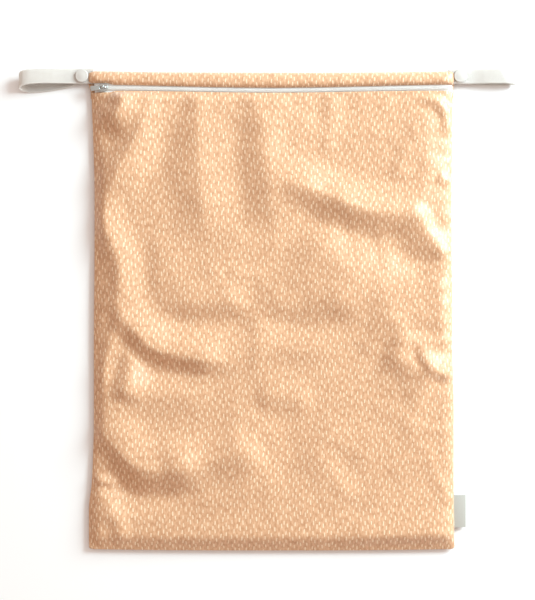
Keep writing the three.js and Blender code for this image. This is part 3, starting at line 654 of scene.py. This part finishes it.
def make_back_panel(sizes, material):
    """The back: flat on what the bag lies on, with a rim that curls up to the seams."""
    columns = rolled_shares(BODY_WIDTH, 2 * sizes.cell, BACK_CURL, BACK_CURL)
    rows = rolled_shares(BODY_LENGTH, 2 * sizes.cell, BACK_CURL, BACK_CURL)
    share, up = np.meshgrid(columns, rows)
    y = mix(bottom_edge(share), top_edge(share), up)
    side = BODY_WIDTH * np.minimum(share, 1 - share)
    end = BODY_LENGTH * np.minimum(up, 1 - up)
    rim = 1 - np.clip(np.minimum(side, end) / BACK_CURL, 0, 1)
    lift = (RIM_HEIGHT - 0.75) * rim**2
    x = place(share, y, 0)[..., 0]
    lift += rim * (1 - rim) * (0.7 + seam_pucker(y, end * 0, 0.25, 19, 1) + seam_pucker(x, side * 0, 0.2, 23, 1))
    points = place(share, y, lift)
    tuck = np.array([0, 0, 2 * sum(drop for _, drop in TUCK)])
    count = len(TUCK)
    points = with_tucks(points, True, True, True, True)
    points[:count] += tuck * np.linspace(1, 0.4, count)[:, None, None]
    points[-count:] += tuck * np.linspace(0.4, 1, count)[:, None, None]
    points[:, :count] += tuck * np.linspace(1, 0.4, count)[None, :, None]
    points[:, -count:] += tuck * np.linspace(0.4, 1, count)[None, :, None]
    points[..., 2] = np.minimum(points[..., 2], RIM_HEIGHT - 0.35)
    part = grid_part(points[:, ::-1], unrolled(points[:, ::-1]) + np.array([17.0, 23.0]))
    piece = make_piece("back_cloth", [part], material, node="back_panel")
    solidify(piece, CLOTH_THICKNESS)


# Zip


def zip_point(share, across, over):
    """Places on the zip: along it, across from its middle line, and over the tape's middle."""
    rest = ZIP_HEIGHT - 2
    height = mix(RIM_HEIGHT - 2, ZIP_HEIGHT, side_roll(share)) if rest > 0 else ZIP_HEIGHT
    return place(share, zip_line(share) + across, height + over)


def parting(share):
    """Half the slit between the coils: open at the slider's nose and closed at its tail."""
    length = SLIDER_HIGH[0] - SLIDER_LOW[0]
    x = zip_point(share, 0.0, 0.0)[..., 0]
    open_share = 1 - smooth((x - SLIDER_LOW[0] - length / 3) / (length / 2))
    return 0.15 + 0.9 * open_share


def make_tapes(sizes, material):
    """Two flat woven strips under the hems, whose inner edges carry the coils."""
    for name, side in (("upper", 1), ("lower", -1)):
        share = np.linspace(5 / BODY_WIDTH, 1 - 1.2 / BODY_WIDTH, 200)
        width = 8.8
        section = round_outline([(0, -0.42), (width, -0.42), (width, 0.42), (0, 0.42)], 0.3)
        section = section if side > 0 else section[::-1] * (-1, 1)
        centres = zip_point(share, side * parting(share), 0.0)
        sides = np.tile([0.0, 1.0, 0.0], (len(share), 1))
        ups = np.tile([0.0, 0.0, 1.0], (len(share), 1))
        part = swept_part(centres, sides, ups, section)
        make_piece("tape_" + name, [part], material, node="zip_tape_" + name)


def make_coils(sizes, material):
    """Each coil is one round wire wound as an oval helix, and the two lie half a turn apart so
    that their turns pass between each other."""
    middle = (COIL_LOW[2] + COIL_HIGH[2]) / 2
    middle = COIL_HIGH[2] - 0.8 - ZIP_HEIGHT
    for name, side in (("upper", 1), ("lower", -1)):
        length = BODY_WIDTH - 10
        turns = int(length / COIL_PITCH)
        angle = np.linspace(0, 2 * np.pi * turns, turns * 14)
        share = (7.5 + COIL_PITCH * angle / (2 * np.pi)) / BODY_WIDTH
        phase = angle + (np.pi if side > 0 else 0)
        reach = 0.95
        across = side * (parting(share) + reach - 0.32 + (reach - COIL_WIRE / 2 + 0.15) * np.cos(phase))
        over = middle + (0.8 - COIL_WIRE / 2) * np.sin(phase)
        centres = zip_point(share, across, over)
        tangent = unit(np.gradient(centres, axis=0))
        out = unit(np.stack([0 * angle, side * np.cos(phase), np.sin(phase)], axis=-1))
        other = unit(np.cross(tangent, out))
        out = np.cross(other, tangent)
        ring = np.linspace(0, 2 * np.pi, 6, endpoint=False)
        section = np.stack([np.cos(ring), np.sin(ring)], axis=-1) * COIL_WIRE / 2
        part = swept_part(centres, out, other, section[::-1])
        make_piece("coil_" + name, [part], material, node="zip_coil_" + name)


def make_slider(sizes, material):
    """Two shaped plates with turned flanges, a wedge between them and a bridge on top."""
    length = SLIDER_HIGH[0] - SLIDER_LOW[0]
    shoulder = (SLIDER_HIGH[1] - SLIDER_LOW[1]) / 2
    waist = shoulder - 1
    nose, tail, cut = -length / 2, length / 2, length / 8
    plan = [
        (nose, -shoulder + 2 * cut),
        (nose + cut, -shoulder),
        (0, -shoulder),
        (tail - cut, -waist),
        (tail, -waist + cut),
        (tail, waist - cut),
        (tail - cut, waist),
        (0, shoulder),
        (nose + cut, shoulder),
        (nose, shoulder - 2 * cut),
    ]
    outline = round_outline(plan, 0.55)
    middle = np.array([SLIDER_MIDDLE[0], SLIDER_MIDDLE[1], ZIP_HEIGHT])
    parts = [
        plate_part(outline, 0.32, 2.7, 3.5, middle),
        plate_part(outline, 0.32, -1.6, -0.8, middle),
    ]
    for side in (1, -1):
        line = np.array([(nose + cut, side * (shoulder - 0.3)), (0, side * (shoulder - 0.3)), (tail - cut, side * (waist - 0.3))])
        centres = np.column_stack([line, np.full(3, 2.0)]) + middle
        direction = unit(np.gradient(centres, axis=0))
        ups = np.tile([0.0, 0.0, 1.0], (3, 1))
        section = round_outline([(-0.3, -1.1), (0.3, -1.1), (0.3, 1.1), (-0.3, 1.1)], 0.15)
        parts.append(swept_part(centres, np.cross(direction, ups), ups, section[::-1]))
    wedge = round_outline([(nose + 0.5, -0.7), (nose + length / 3, -0.7), (nose + length / 2, 0), (nose + length / 3, 0.7), (nose + 0.5, 0.7)], 0.2)
    parts.append(plate_part(wedge, 0.1, -1.2, 3.1, middle))
    reach, rise = 2.6, SLIDER_HIGH[2] - ZIP_HEIGHT - 3.5 - 0.4
    arch = [(-reach, -0.4), (-reach, rise * 0.55), (-reach + 0.75, rise * 0.96), (0, rise), (reach - 0.75, rise * 0.96), (reach, rise * 0.55), (reach, -0.4)]
    path = smooth_curve([(x, 0, z) for x, z in arch], 28) + middle + np.array([0, 0, 3.5])
    direction = unit(np.gradient(path, axis=0))
    sides = np.tile([0.0, 1.0, 0.0], (len(path), 1))
    section = round_outline([(-0.8, -0.4), (0.8, -0.4), (0.8, 0.4), (-0.8, 0.4)], 0.25)
    parts.append(swept_part(path, sides, np.cross(direction, sides), section))
    make_piece("slider", parts, material, node="zip_slider")


def make_pull(sizes, material):
    """A flat pull with an eye: rings round the eye's middle whose rims are rounded."""
    length = 13.0
    half = 2.4
    far = -length + 0.45
    outline = round_outline([(0.45, -half), (0.45, half), (far, half), (far, -half)], 1.3, 7)[::-1]
    eye = round_outline([(-0.45, -1.3), (-0.45, 1.3), (-3.5, 1.3), (-3.5, -1.3)], 0.35, 4)[::-1]
    centre = np.array([-2.0, 0.0])
    angle = np.linspace(0, 2 * np.pi, 96, endpoint=False)

    def on_ray(polygon):
        """Where rays from the centre meet a convex outline."""
        loop = np.vstack([polygon, polygon[:1]]) - centre
        bearing = np.unwrap(np.arctan2(loop[:, 1], loop[:, 0]))
        order = np.argsort(bearing)
        fine_t = np.linspace(0, 1, 40)[:, None, None]
        fine = (loop[None, :-1] * (1 - fine_t) + loop[None, 1:] * fine_t).swapaxes(0, 1).reshape(-1, 2)
        bearing = np.arctan2(fine[:, 1], fine[:, 0]) % (2 * np.pi)
        order = np.argsort(bearing)
        bearing, distance = bearing[order], np.hypot(*fine[order].T)
        reach = np.interp(angle, bearing, distance, period=2 * np.pi)
        return centre + reach[:, None] * np.stack([np.cos(angle), np.sin(angle)], axis=-1)

    outer, inner = on_ray(outline), on_ray(eye)
    thick = (PULL_HIGH[2] - PULL_LOW[2]) / 2
    outer_rings = rounded_profile(outer, 0.3, -thick, thick)
    inner_rings = rounded_profile(inner[::-1], 0.25, -thick, thick)[:, ::-1]
    rings = np.concatenate([outer_rings, inner_rings[::-1]], axis=0)
    yaw = math.atan2(-HINGE_AXIS[0], HINGE_AXIS[1])
    turn = np.array([[math.cos(yaw), -math.sin(yaw), 0], [math.sin(yaw), math.cos(yaw), 0], [0, 0, 1]])
    part = grid_part(rings @ turn.T + HINGE, close_rows=True, close_columns=True)
    make_piece("pull", [part], material, body="pull", node="pull_tab")


# Loops, snaps and label


def loop_frames(side, low, high, under_skew, slant):
    """Centres, sides and ups along a webbing loop, from the box that the frame gives it."""
    seam = side * BODY_WIDTH / 2
    end = low[0] if side < 0 else high[0]
    snap_low, snap_high = node_box("snap_cap_left" if side < 0 else "snap_cap_right")
    snap_middle = (snap_low + snap_high) / 2
    reach = side * (end - seam) - abs(slant) * WEBBING_WIDTH / 2
    measures = {"root": 5.0, "snap": side * (snap_middle[0] - seam), "reach": reach}
    half = WEBBING_THICKNESS / 2
    upper = snap_high[2] - 1.9 - 0.3 - half
    lower = 1.3 + half
    levels = {"snap": (lower, upper), "far": (half, high[2] - half)}
    middle = snap_middle[1]
    course = []
    for measure, out, kind, up, skew in LOOP_COURSE:
        level = levels[kind]
        course.append((seam + side * out * measures[measure], middle - under_skew * skew, mix(level[0], level[1], up)))
    centres = smooth_curve(course, 240)
    centres[:, 2] = np.maximum(centres[:, 2], half)
    forward = np.gradient(centres, axis=0) * (1, 0, 1)
    forward = unit(forward)
    ups = np.stack([-side * forward[:, 2], 0 * forward[:, 0], side * forward[:, 0]], axis=-1)
    out = np.abs(centres[:, 0] - seam) / reach
    lean = -side * slant * smooth(2 * out - 1)
    sides = np.stack([lean, np.ones_like(lean), np.zeros_like(lean)], axis=-1) * side
    return centres, sides, ups


def make_loops(sizes, material):
    """Flat webbing with rounded selvedges, swept along each loop's course."""
    half, thick = WEBBING_WIDTH / 2, WEBBING_THICKNESS / 2
    across = np.linspace(-half + 0.5, half - 0.5, 15)
    bulge = thick * (0.93 + 0.07 * np.cos(np.linspace(-6 * np.pi, 6 * np.pi, 15)))
    top = np.column_stack([across, bulge])
    angle = np.linspace(0, np.pi, 7)[1:-1]
    right = np.column_stack([half - 0.5 + 0.5 * np.sin(angle), thick * np.cos(angle)])
    section = np.vstack([top, right, (top * (1, -1))[::-1], (right * (-1, -1))])[::-1]
    for name, side, skew, slant in (("left", -1, 8.0, 0.0), ("right", 1, 1.0, 0.62)):
        low, high = node_box("loop_" + name)
        centres, sides, ups = loop_frames(side, low, high, skew, slant)
        part = swept_part(centres, sides, ups, section)
        make_piece("webbing_" + name, [part], material, node="loop_" + name)


def make_snaps(sizes, material):
    """The four turned pieces of each press snap."""
    for end in ("left", "right"):
        low, high = node_box("snap_cap_" + end)
        middle = (low + high) / 2
        radius = (high[0] - low[0]) / 2
        base, crown = high[2] - 1.9, high[2]
        angle = np.linspace(0, np.pi / 2, 9)
        rim = np.column_stack([radius - 0.75 + 0.75 * np.cos(angle), base + 0.45 + 0.95 * np.sin(angle)])
        dish = [(radius - 1.5, crown - 0.46), (radius - 2.2, crown - 0.4), (radius - 3.2, crown - 0.22), (1.6, crown - 0.03), (0.2, crown)]
        cap = [(0.2, low[2]), (1.4, low[2]), (1.5, low[2] + 0.1), (1.5, base), (radius - 0.3, base), (radius, base + 0.25), *rim, *dish]
        make_piece("cap_" + end, [turned_part(cap, middle)], material, node="snap_cap_" + end)
        low, high = node_box("snap_socket_" + end)
        edge = (high[0] - low[0]) / 2
        ring = [(1.9, low[2]), (edge - 0.3, low[2]), (edge, low[2] + 0.3), (edge, high[2] - 0.3), (edge - 0.3, high[2]), (1.9, high[2])]
        socket = turned_part(ring, middle)
        socket["faces"] = [grid_faces(len(ring), 48, close_rows=True, close_columns=True)]
        make_piece("socket_" + end, [socket], material, node="snap_socket_" + end)
        low, high = node_box("snap_stud_" + end)
        edge = (high[0] - low[0]) / 2
        stud = [(0.1, low[2] + 0.35), (1.9, low[2] + 0.35), (1.9, low[2]), (edge - 0.25, low[2]), (edge, low[2] + 0.25), (edge, low[2] + 0.6), (edge - 0.2, low[2] + 0.7), (1.7, low[2] + 0.7), (1.55, low[2] + 0.9), (1.55, high[2] - 0.25), (1.3, high[2]), (0.1, high[2])]
        make_piece("stud_" + end, [turned_part(stud, middle)], material, node="snap_stud_" + end)
        low, high = node_box("snap_back_cap_" + end)
        back = [(0.1, low[2]), (radius - 1.0, low[2]), (radius - 0.3, low[2] + 0.2), (radius, low[2] + 0.6), (radius - 0.15, low[2] + 1.0), (1.5, low[2] + 1.0), (1.5, high[2] - 0.15), (1.35, high[2]), (0.1, high[2])]
        make_piece("back_cap_" + end, [turned_part(back, middle)], material, node="snap_back_cap_" + end)


def make_label(sizes, material):
    """A ribbon folded over at its outer end, both layers held in the side seam."""
    root, end = LABEL_LOW[0], LABEL_HIGH[0]
    top, droop = LABEL_HIGH[2] - 0.18, 1.9
    reach = end - root
    upper = [(0, 0), (0.26, 0), (0.5, -0.12), (0.75, -0.45), (0.93, -0.82), (0.985, -0.99)]
    course = [(root + reach * out, top + droop * drop) for out, drop in upper]
    course += [(end - 0.17, top - droop - 0.3)]
    course += [(root + reach * out, top + droop * drop - 0.62) for out, drop in upper[::-1][1:]]
    path = smooth_curve([(x, (LABEL_LOW[1] + LABEL_HIGH[1]) / 2, z) for x, z in course], 90)
    forward = unit(np.gradient(path, axis=0))
    sides = np.tile([0.0, 1.0, 0.0], (len(path), 1))
    half = (LABEL_HIGH[1] - LABEL_LOW[1]) / 2
    section = round_outline([(-half, -0.16), (half, -0.16), (half, 0.16), (-half, 0.16)], 0.1)
    part = swept_part(path, sides, np.cross(forward, sides), section)
    make_piece("label", [part], material, node="side_label")


# Materials


def add_node(tree, kind, inputs=(), **settings):
    """Adds a node with its settings. An input given as a socket is linked, and any other is set."""
    node = tree.nodes.new(kind)
    for name, value in settings.items():
        setattr(node, name, value)
    for name, value in dict(inputs).items():
        if isinstance(value, bpy.types.NodeSocket):
            tree.links.new(value, node.inputs[name])
        else:
            node.inputs[name].default_value = value
    return node


def math_node(tree, operation, *values):
    """The result of one sum on sockets and numbers."""
    return add_node(tree, "ShaderNodeMath", dict(enumerate(values)), operation=operation).outputs[0]


def new_material(name):
    """An empty material with its shader, its tree and the shader itself."""
    material = bpy.data.materials.new(name)
    material.use_nodes = True
    tree = material.node_tree
    tree.nodes.clear()
    shader = add_node(tree, "ShaderNodeBsdfPrincipled")
    add_node(tree, "ShaderNodeOutputMaterial", {"Surface": shader.outputs[0]})
    return material, tree, shader


def set_shader(shader, **values):
    """Sets the shader's own sockets, named with underscores for spaces."""
    for name, value in values.items():
        shader.inputs[name.replace("_", " ").title().replace("Ior", "IOR")].default_value = value


def rgba(colour):
    return (*colour, 1.0)


def printed_knit(colours, name="printed_polyester_knit"):
    """Brushed polyester knit printed with short rain dashes, laminated behind: soft, with a faint
    satin sheen. The dashes are strokes at the points of a jittered slanting lattice."""
    material, tree, shader = new_material(name)
    flat = add_node(tree, "ShaderNodeUVMap", uv_map="flat").outputs[0]
    first, second = np.array([3.7, -3.7]), np.array([2.78, 5.56])
    inverse = np.linalg.inv(np.column_stack([first, second]))
    along = [
        add_node(tree, "ShaderNodeVectorMath", {0: flat, 1: (*row, 0.0)}, operation="DOT_PRODUCT").outputs["Value"]
        for row in inverse
    ]
    lattice = add_node(tree, "ShaderNodeCombineXYZ", {0: along[0], 1: along[1]}).outputs[0]
    cell = add_node(
        tree, "ShaderNodeTexVoronoi", {"Vector": lattice, "Scale": 1.0, "Randomness": 0.42},
        voronoi_dimensions="2D", feature="F1",
    )
    offset = add_node(tree, "ShaderNodeVectorMath", {0: lattice, 1: cell.outputs["Position"]}, operation="SUBTRACT").outputs[0]
    part = add_node(tree, "ShaderNodeSeparateXYZ", {0: offset}).outputs
    across = math_node(tree, "ADD", math_node(tree, "MULTIPLY", part[0], first[0]), math_node(tree, "MULTIPLY", part[1], second[0]))
    up = math_node(tree, "ADD", math_node(tree, "MULTIPLY", part[0], first[1]), math_node(tree, "MULTIPLY", part[1], second[1]))
    local = add_node(tree, "ShaderNodeCombineXYZ", {0: across, 1: up}).outputs[0]
    chance = add_node(tree, "ShaderNodeSeparateColor", {0: cell.outputs["Color"]}).outputs
    tilt = math_node(tree, "MULTIPLY", math_node(tree, "SUBTRACT", chance[0], 0.5), 0.26)
    turned = add_node(
        tree, "ShaderNodeVectorRotate", {"Vector": local, "Angle": tilt}, rotation_type="Z_AXIS"
    ).outputs[0]
    stroke = add_node(tree, "ShaderNodeSeparateXYZ", {0: turned}).outputs
    half = math_node(tree, "ADD", math_node(tree, "MULTIPLY", chance[1], 0.55), 1.15)
    beyond = math_node(tree, "MAXIMUM", math_node(tree, "SUBTRACT", math_node(tree, "ABSOLUTE", stroke[1]), half), 0.0)
    distance = math_node(
        tree, "SQRT",
        math_node(tree, "ADD", math_node(tree, "MULTIPLY", stroke[0], stroke[0]), math_node(tree, "MULTIPLY", beyond, beyond)),
    )
    dash = add_node(
        tree, "ShaderNodeMapRange",
        {"Value": distance, "From Min": 0.36, "From Max": 0.76, "To Min": 1.0, "To Max": 0.0},
        interpolation_type="SMOOTHSTEP",
    ).outputs[0]
    strength = math_node(tree, "MULTIPLY", dash, math_node(tree, "ADD", math_node(tree, "MULTIPLY", chance[2], 0.3), 0.75))
    streaked = add_node(tree, "ShaderNodeMapping", {"Vector": flat, "Scale": (0.5, 0.22, 1.0)}).outputs[0]
    mottle = add_node(tree, "ShaderNodeTexNoise", {"Vector": streaked, "Scale": 1.0, "Detail": 3.0}).outputs[0]
    shade = add_node(tree, "ShaderNodeMapRange", {"Value": mottle, "From Min": 0.34, "From Max": 0.64, "To Min": 0.0, "To Max": 1.0}).outputs[0]
    ground = add_node(
        tree, "ShaderNodeMix",
        {"Factor": shade, 6: rgba(colours.ground_dark), 7: rgba(colours.ground)}, data_type="RGBA",
    ).outputs[2]
    paint = add_node(
        tree, "ShaderNodeMix", {"Factor": strength, 6: ground, 7: rgba(colours.dash)}, data_type="RGBA"
    ).outputs[2]
    tree.links.new(paint, shader.inputs["Base Color"])
    knit = add_node(tree, "ShaderNodeTexNoise", {"Vector": flat, "Scale": 1.4, "Detail": 4.0, "Roughness": 0.6}).outputs[0]
    bump = add_node(tree, "ShaderNodeBump", {"Height": knit, "Strength": 0.25, "Distance": 0.35 * MM}).outputs[0]
    tree.links.new(bump, shader.inputs["Normal"])
    set_shader(shader, roughness=0.46, specular_ior_level=0.7, sheen_weight=0.5, sheen_roughness=0.5, ior=1.5)
    return material


def woven_polyester(name, colour, pitch, roughness, depth, glow=0.0):
    """Plain-woven polyester: threads cross every pitch millimetres, drawn as two crossed waves. A
    share of the light glows through."""
    material, tree, shader = new_material(name)
    flat = add_node(tree, "ShaderNodeUVMap", uv_map="flat").outputs[0]
    scale = math.pi / (10 * pitch)
    waves = [
        add_node(
            tree, "ShaderNodeTexWave", {"Vector": flat, "Scale": scale, "Distortion": 0.6, "Detail": 1.0},
            wave_type="BANDS", bands_direction=direction,
        ).outputs["Fac"]
        for direction in ("X", "Y")
    ]
    weave = math_node(tree, "MULTIPLY", waves[0], waves[1])
    tone = add_node(tree, "ShaderNodeMapRange", {"Value": weave, "To Min": 0.93, "To Max": 1.0}).outputs[0]
    paint = add_node(tree, "ShaderNodeVectorMath", {0: tuple(colour), "Scale": tone}, operation="SCALE").outputs[0]
    tree.links.new(paint, shader.inputs["Base Color"])
    bump = add_node(tree, "ShaderNodeBump", {"Height": weave, "Strength": 0.5, "Distance": depth * MM}).outputs[0]
    tree.links.new(bump, shader.inputs["Normal"])
    set_shader(shader, roughness=roughness, sheen_weight=0.1, ior=1.5)
    set_shader(shader, subsurface_weight=glow, subsurface_radius=(1, 1, 1), subsurface_scale=4 * MM)
    return material


def moulded_plastic(name, colour, roughness):
    """Moulded plastic: smooth, with the faint waviness of its mould."""
    material, tree, shader = new_material(name)
    place_in = add_node(tree, "ShaderNodeTexCoord").outputs["Object"]
    noise = add_node(tree, "ShaderNodeTexNoise", {"Vector": place_in, "Scale": 260.0, "Detail": 2.0}).outputs[0]
    bump = add_node(tree, "ShaderNodeBump", {"Height": noise, "Strength": 0.08, "Distance": 0.1 * MM}).outputs[0]
    tree.links.new(bump, shader.inputs["Normal"])
    set_shader(shader, base_color=rgba(colour), roughness=roughness, ior=1.48)
    return material


def plated_zinc(colour):
    """Die-cast zinc, nickel plated and tumbled: bright, slightly uneven."""
    material, tree, shader = new_material("plated_zinc")
    place_in = add_node(tree, "ShaderNodeTexCoord").outputs["Object"]
    noise = add_node(tree, "ShaderNodeTexNoise", {"Vector": place_in, "Scale": 900.0, "Detail": 3.0}).outputs[0]
    rough = add_node(tree, "ShaderNodeMapRange", {"Value": noise, "To Min": 0.12, "To Max": 0.3}).outputs[0]
    tree.links.new(rough, shader.inputs["Roughness"])
    bump = add_node(tree, "ShaderNodeBump", {"Height": noise, "Strength": 0.15, "Distance": 0.05 * MM}).outputs[0]
    tree.links.new(bump, shader.inputs["Normal"])
    set_shader(shader, base_color=rgba(colour), metallic=1.0)
    return material


# Studio


def heading(bearing, rise):
    """The unit vector at a bearing from +X in plan and a rise over the floor."""
    return np.array([math.cos(bearing) * math.cos(rise), math.sin(bearing) * math.cos(rise), math.sin(rise)])


def studio_sky(bearing, rise):
    """Pale walls: bright on the window's side, dimmer and warmer away from it."""
    world = bpy.data.worlds.new("studio")
    world.use_nodes = True
    tree = world.node_tree
    direction = add_node(tree, "ShaderNodeTexCoord").outputs["Generated"]
    facing = add_node(
        tree, "ShaderNodeVectorMath", {0: direction, 1: tuple(heading(bearing, rise))}, operation="DOT_PRODUCT"
    ).outputs["Value"]
    share = add_node(
        tree, "ShaderNodeMapRange", {"Value": facing, "From Min": -1.0}, interpolation_type="SMOOTHSTEP"
    ).outputs[0]
    sky = add_node(
        tree, "ShaderNodeMix", {"Factor": share, 6: (0.36, 0.18, 0.1, 1), 7: (0.9, 0.82, 0.77, 1)}, data_type="RGBA"
    ).outputs[2]
    tree.links.new(sky, tree.nodes["Background"].inputs["Color"])
    return world


# Properties


class WetBagSizes(bpy.types.PropertyGroup):
    """Sizes of the cloth's shape"""

    cell: bpy.props.FloatProperty(name="Cell", description="Mesh cell of the front, in millimetres", default=1.9, min=1.5)
    puff: bpy.props.FloatProperty(name="Puff", description="Height of the front between folds, in millimetres", default=8.6)
    fold_rise: bpy.props.FloatProperty(name="Fold rise", description="Height of the folds as a share of their own", default=0.95)
    wrinkles: bpy.props.IntProperty(name="Wrinkles", description="How many small wrinkles the front has", default=160)
    wrinkle_rise: bpy.props.FloatProperty(name="Wrinkle rise", description="Height of a small wrinkle, in millimetres", default=0.9)


def colour_property(name, code, description):
    return bpy.props.FloatVectorProperty(
        name=name, description=description, subtype="COLOR", size=3, default=linear(code), min=0, max=1
    )


class WetBagColours(bpy.types.PropertyGroup):
    """Colours of the cloth, the zip and the trim"""

    ground: colour_property("Ground", "#e0b28a", "Peach ground of the print")
    ground_dark: colour_property("Ground, dark", "#c38f66", "Darker mottling of the ground")
    dash: colour_property("Dash", "#f2d7b5", "Cream dashes of the print")
    tape: colour_property("Tape", "#f2f1ee", "Woven zip tape")
    coil: colour_property("Coil", "#f6f5f2", "Nylon coil of the zip")
    zinc: colour_property("Zinc", "#bfc4c3", "Plated slider and pull")
    webbing: colour_property("Webbing", "#d4d0ca", "White webbing of the loops")
    snap: colour_property("Snap", "#cfcbc5", "White plastic of the press snaps")
    ribbon: colour_property("Ribbon", "#b6b2a9", "Blank ribbon of the label")
    floor: colour_property("Floor", "#f6f6f6", "Pale surface that the bag lies on")


# Operators


class WETBAG_OT_cloth(bpy.types.Operator):
    """Make the printed front, the strip over the zip and the back"""

    bl_idname = "wetbag.cloth"
    bl_label = "Cloth panels"

    def execute(self, context):
        material = printed_knit(context.scene.wet_bag_colours)
        make_back_panel(context.scene.wet_bag_sizes, material)
        make_front_panel(context.scene.wet_bag_sizes, material)
        make_top_strip(context.scene.wet_bag_sizes, material)
        return {"FINISHED"}


class WETBAG_OT_zip(bpy.types.Operator):
    """Make the zip's two tapes and two coils"""

    bl_idname = "wetbag.zip"
    bl_label = "Coil zip"

    def execute(self, context):
        colours = context.scene.wet_bag_colours
        tape = woven_polyester("woven_polyester_tape", colours.tape, 0.8, 0.8, 0.2)
        make_tapes(context.scene.wet_bag_sizes, tape)
        make_coils(context.scene.wet_bag_sizes, moulded_plastic("drawn_nylon_wire", colours.coil, 0.42))
        return {"FINISHED"}


class WETBAG_OT_slider(bpy.types.Operator):
    """Make the zip's slider and its pull"""

    bl_idname = "wetbag.slider"
    bl_label = "Slider and pull"

    def execute(self, context):
        material = plated_zinc(context.scene.wet_bag_colours.zinc)
        make_slider(context.scene.wet_bag_sizes, material)
        make_pull(context.scene.wet_bag_sizes, material)
        return {"FINISHED"}


class WETBAG_OT_loops(bpy.types.Operator):
    """Make the two webbing loops"""

    bl_idname = "wetbag.loops"
    bl_label = "Webbing loops"

    def execute(self, context):
        colours = context.scene.wet_bag_colours
        make_loops(context.scene.wet_bag_sizes, woven_polyester("woven_polyester_webbing", colours.webbing, 1.1, 0.85, 0.25, 1.0))
        return {"FINISHED"}


class WETBAG_OT_snaps(bpy.types.Operator):
    """Make the press snaps that close the loops"""

    bl_idname = "wetbag.snaps"
    bl_label = "Press snaps"

    def execute(self, context):
        make_snaps(context.scene.wet_bag_sizes, moulded_plastic("moulded_acetal", context.scene.wet_bag_colours.snap, 0.3))
        return {"FINISHED"}


class WETBAG_OT_label(bpy.types.Operator):
    """Make the blank ribbon label in the side seam"""

    bl_idname = "wetbag.label"
    bl_label = "Side label"

    def execute(self, context):
        make_label(context.scene.wet_bag_sizes, woven_polyester("satin_ribbon", context.scene.wet_bag_colours.ribbon, 0.6, 0.5, 0.1))
        return {"FINISHED"}


class WETBAG_OT_stage(bpy.types.Operator):
    """Make the pale floor, the soft light and the camera that looks straight down"""

    bl_idname = "wetbag.stage"
    bl_label = "Floor, light and camera"

    def execute(self, context):
        colours = context.scene.wet_bag_colours
        material, tree, shader = new_material("matte_paper")
        set_shader(shader, base_color=rgba(colours.floor), roughness=0.9)
        reach = 4000
        corners = np.array([(-reach, -reach, 0), (reach, -reach, 0), (reach, reach, 0), (-reach, reach, 0)], float)
        mesh = bpy.data.meshes.new("floor")
        mesh.from_pydata((corners * MM).tolist(), [], [(0, 1, 2, 3)])
        mesh.materials.append(material)
        floor = bpy.data.objects.new("floor", mesh)
        context.scene.collection.objects.link(floor)

        context.scene.world = studio_sky(math.radians(33), math.radians(35))
        context.scene.view_settings.view_transform = "Standard"

        bearing, rise, distance = math.radians(33), math.radians(26), 1.8
        toward = heading(bearing, rise)
        light = bpy.data.lights.new("key", "AREA")
        light.shape = "DISK"
        light.size = 0.96
        light.energy = 53
        light.color = (0.8, 1.0, 1.07)
        lamp = bpy.data.objects.new("key", light)
        lamp.location = toward * distance
        lamp.rotation_euler = (math.pi / 2 - rise, 0, math.pi / 2 + bearing)
        context.scene.collection.objects.link(lamp)

        lens, sensor, frame_height = 85.0, 36.0, 576.0
        view = bpy.data.cameras.new("camera")
        view.lens = lens
        view.sensor_width = sensor
        camera = bpy.data.objects.new("camera", view)
        camera.location = (-3.36 * MM, 9.6 * MM, (frame_height * lens / sensor + 7) * MM)
        context.scene.collection.objects.link(camera)
        context.scene.camera = camera
        return {"FINISHED"}


OPERATORS = (
    WETBAG_OT_stage,
    WETBAG_OT_cloth,
    WETBAG_OT_zip,
    WETBAG_OT_slider,
    WETBAG_OT_loops,
    WETBAG_OT_snaps,
    WETBAG_OT_label,
)


class WETBAG_PT_panel(bpy.types.Panel):
    """Lists the bag's sizes, colours and pieces"""

    bl_label = "Wet bag"
    bl_idname = "WETBAG_PT_panel"
    bl_space_type = "VIEW_3D"
    bl_region_type = "UI"
    bl_category = "Wet bag"

    def draw(self, context):
        for group in (context.scene.wet_bag_sizes, context.scene.wet_bag_colours):
            for name in group.__annotations__:
                self.layout.prop(group, name)
        for operator in OPERATORS:
            self.layout.operator(operator.bl_idname)


CLASSES = (WetBagSizes, WetBagColours, *OPERATORS, WETBAG_PT_panel)


def register():
    for each in CLASSES:
        bpy.utils.register_class(each)
    bpy.types.Scene.wet_bag_sizes = bpy.props.PointerProperty(type=WetBagSizes)
    bpy.types.Scene.wet_bag_colours = bpy.props.PointerProperty(type=WetBagColours)


def unregister():
    del bpy.types.Scene.wet_bag_sizes
    del bpy.types.Scene.wet_bag_colours
    for each in reversed(CLASSES):
        bpy.utils.unregister_class(each)


def main():
    """Makes every piece in order."""
    register()
    bpy.ops.wetbag.stage()
    bpy.ops.wetbag.cloth()
    bpy.ops.wetbag.zip()
    bpy.ops.wetbag.slider()
    bpy.ops.wetbag.loops()
    bpy.ops.wetbag.snaps()
    bpy.ops.wetbag.label()


if __name__ == "__main__":
    main()
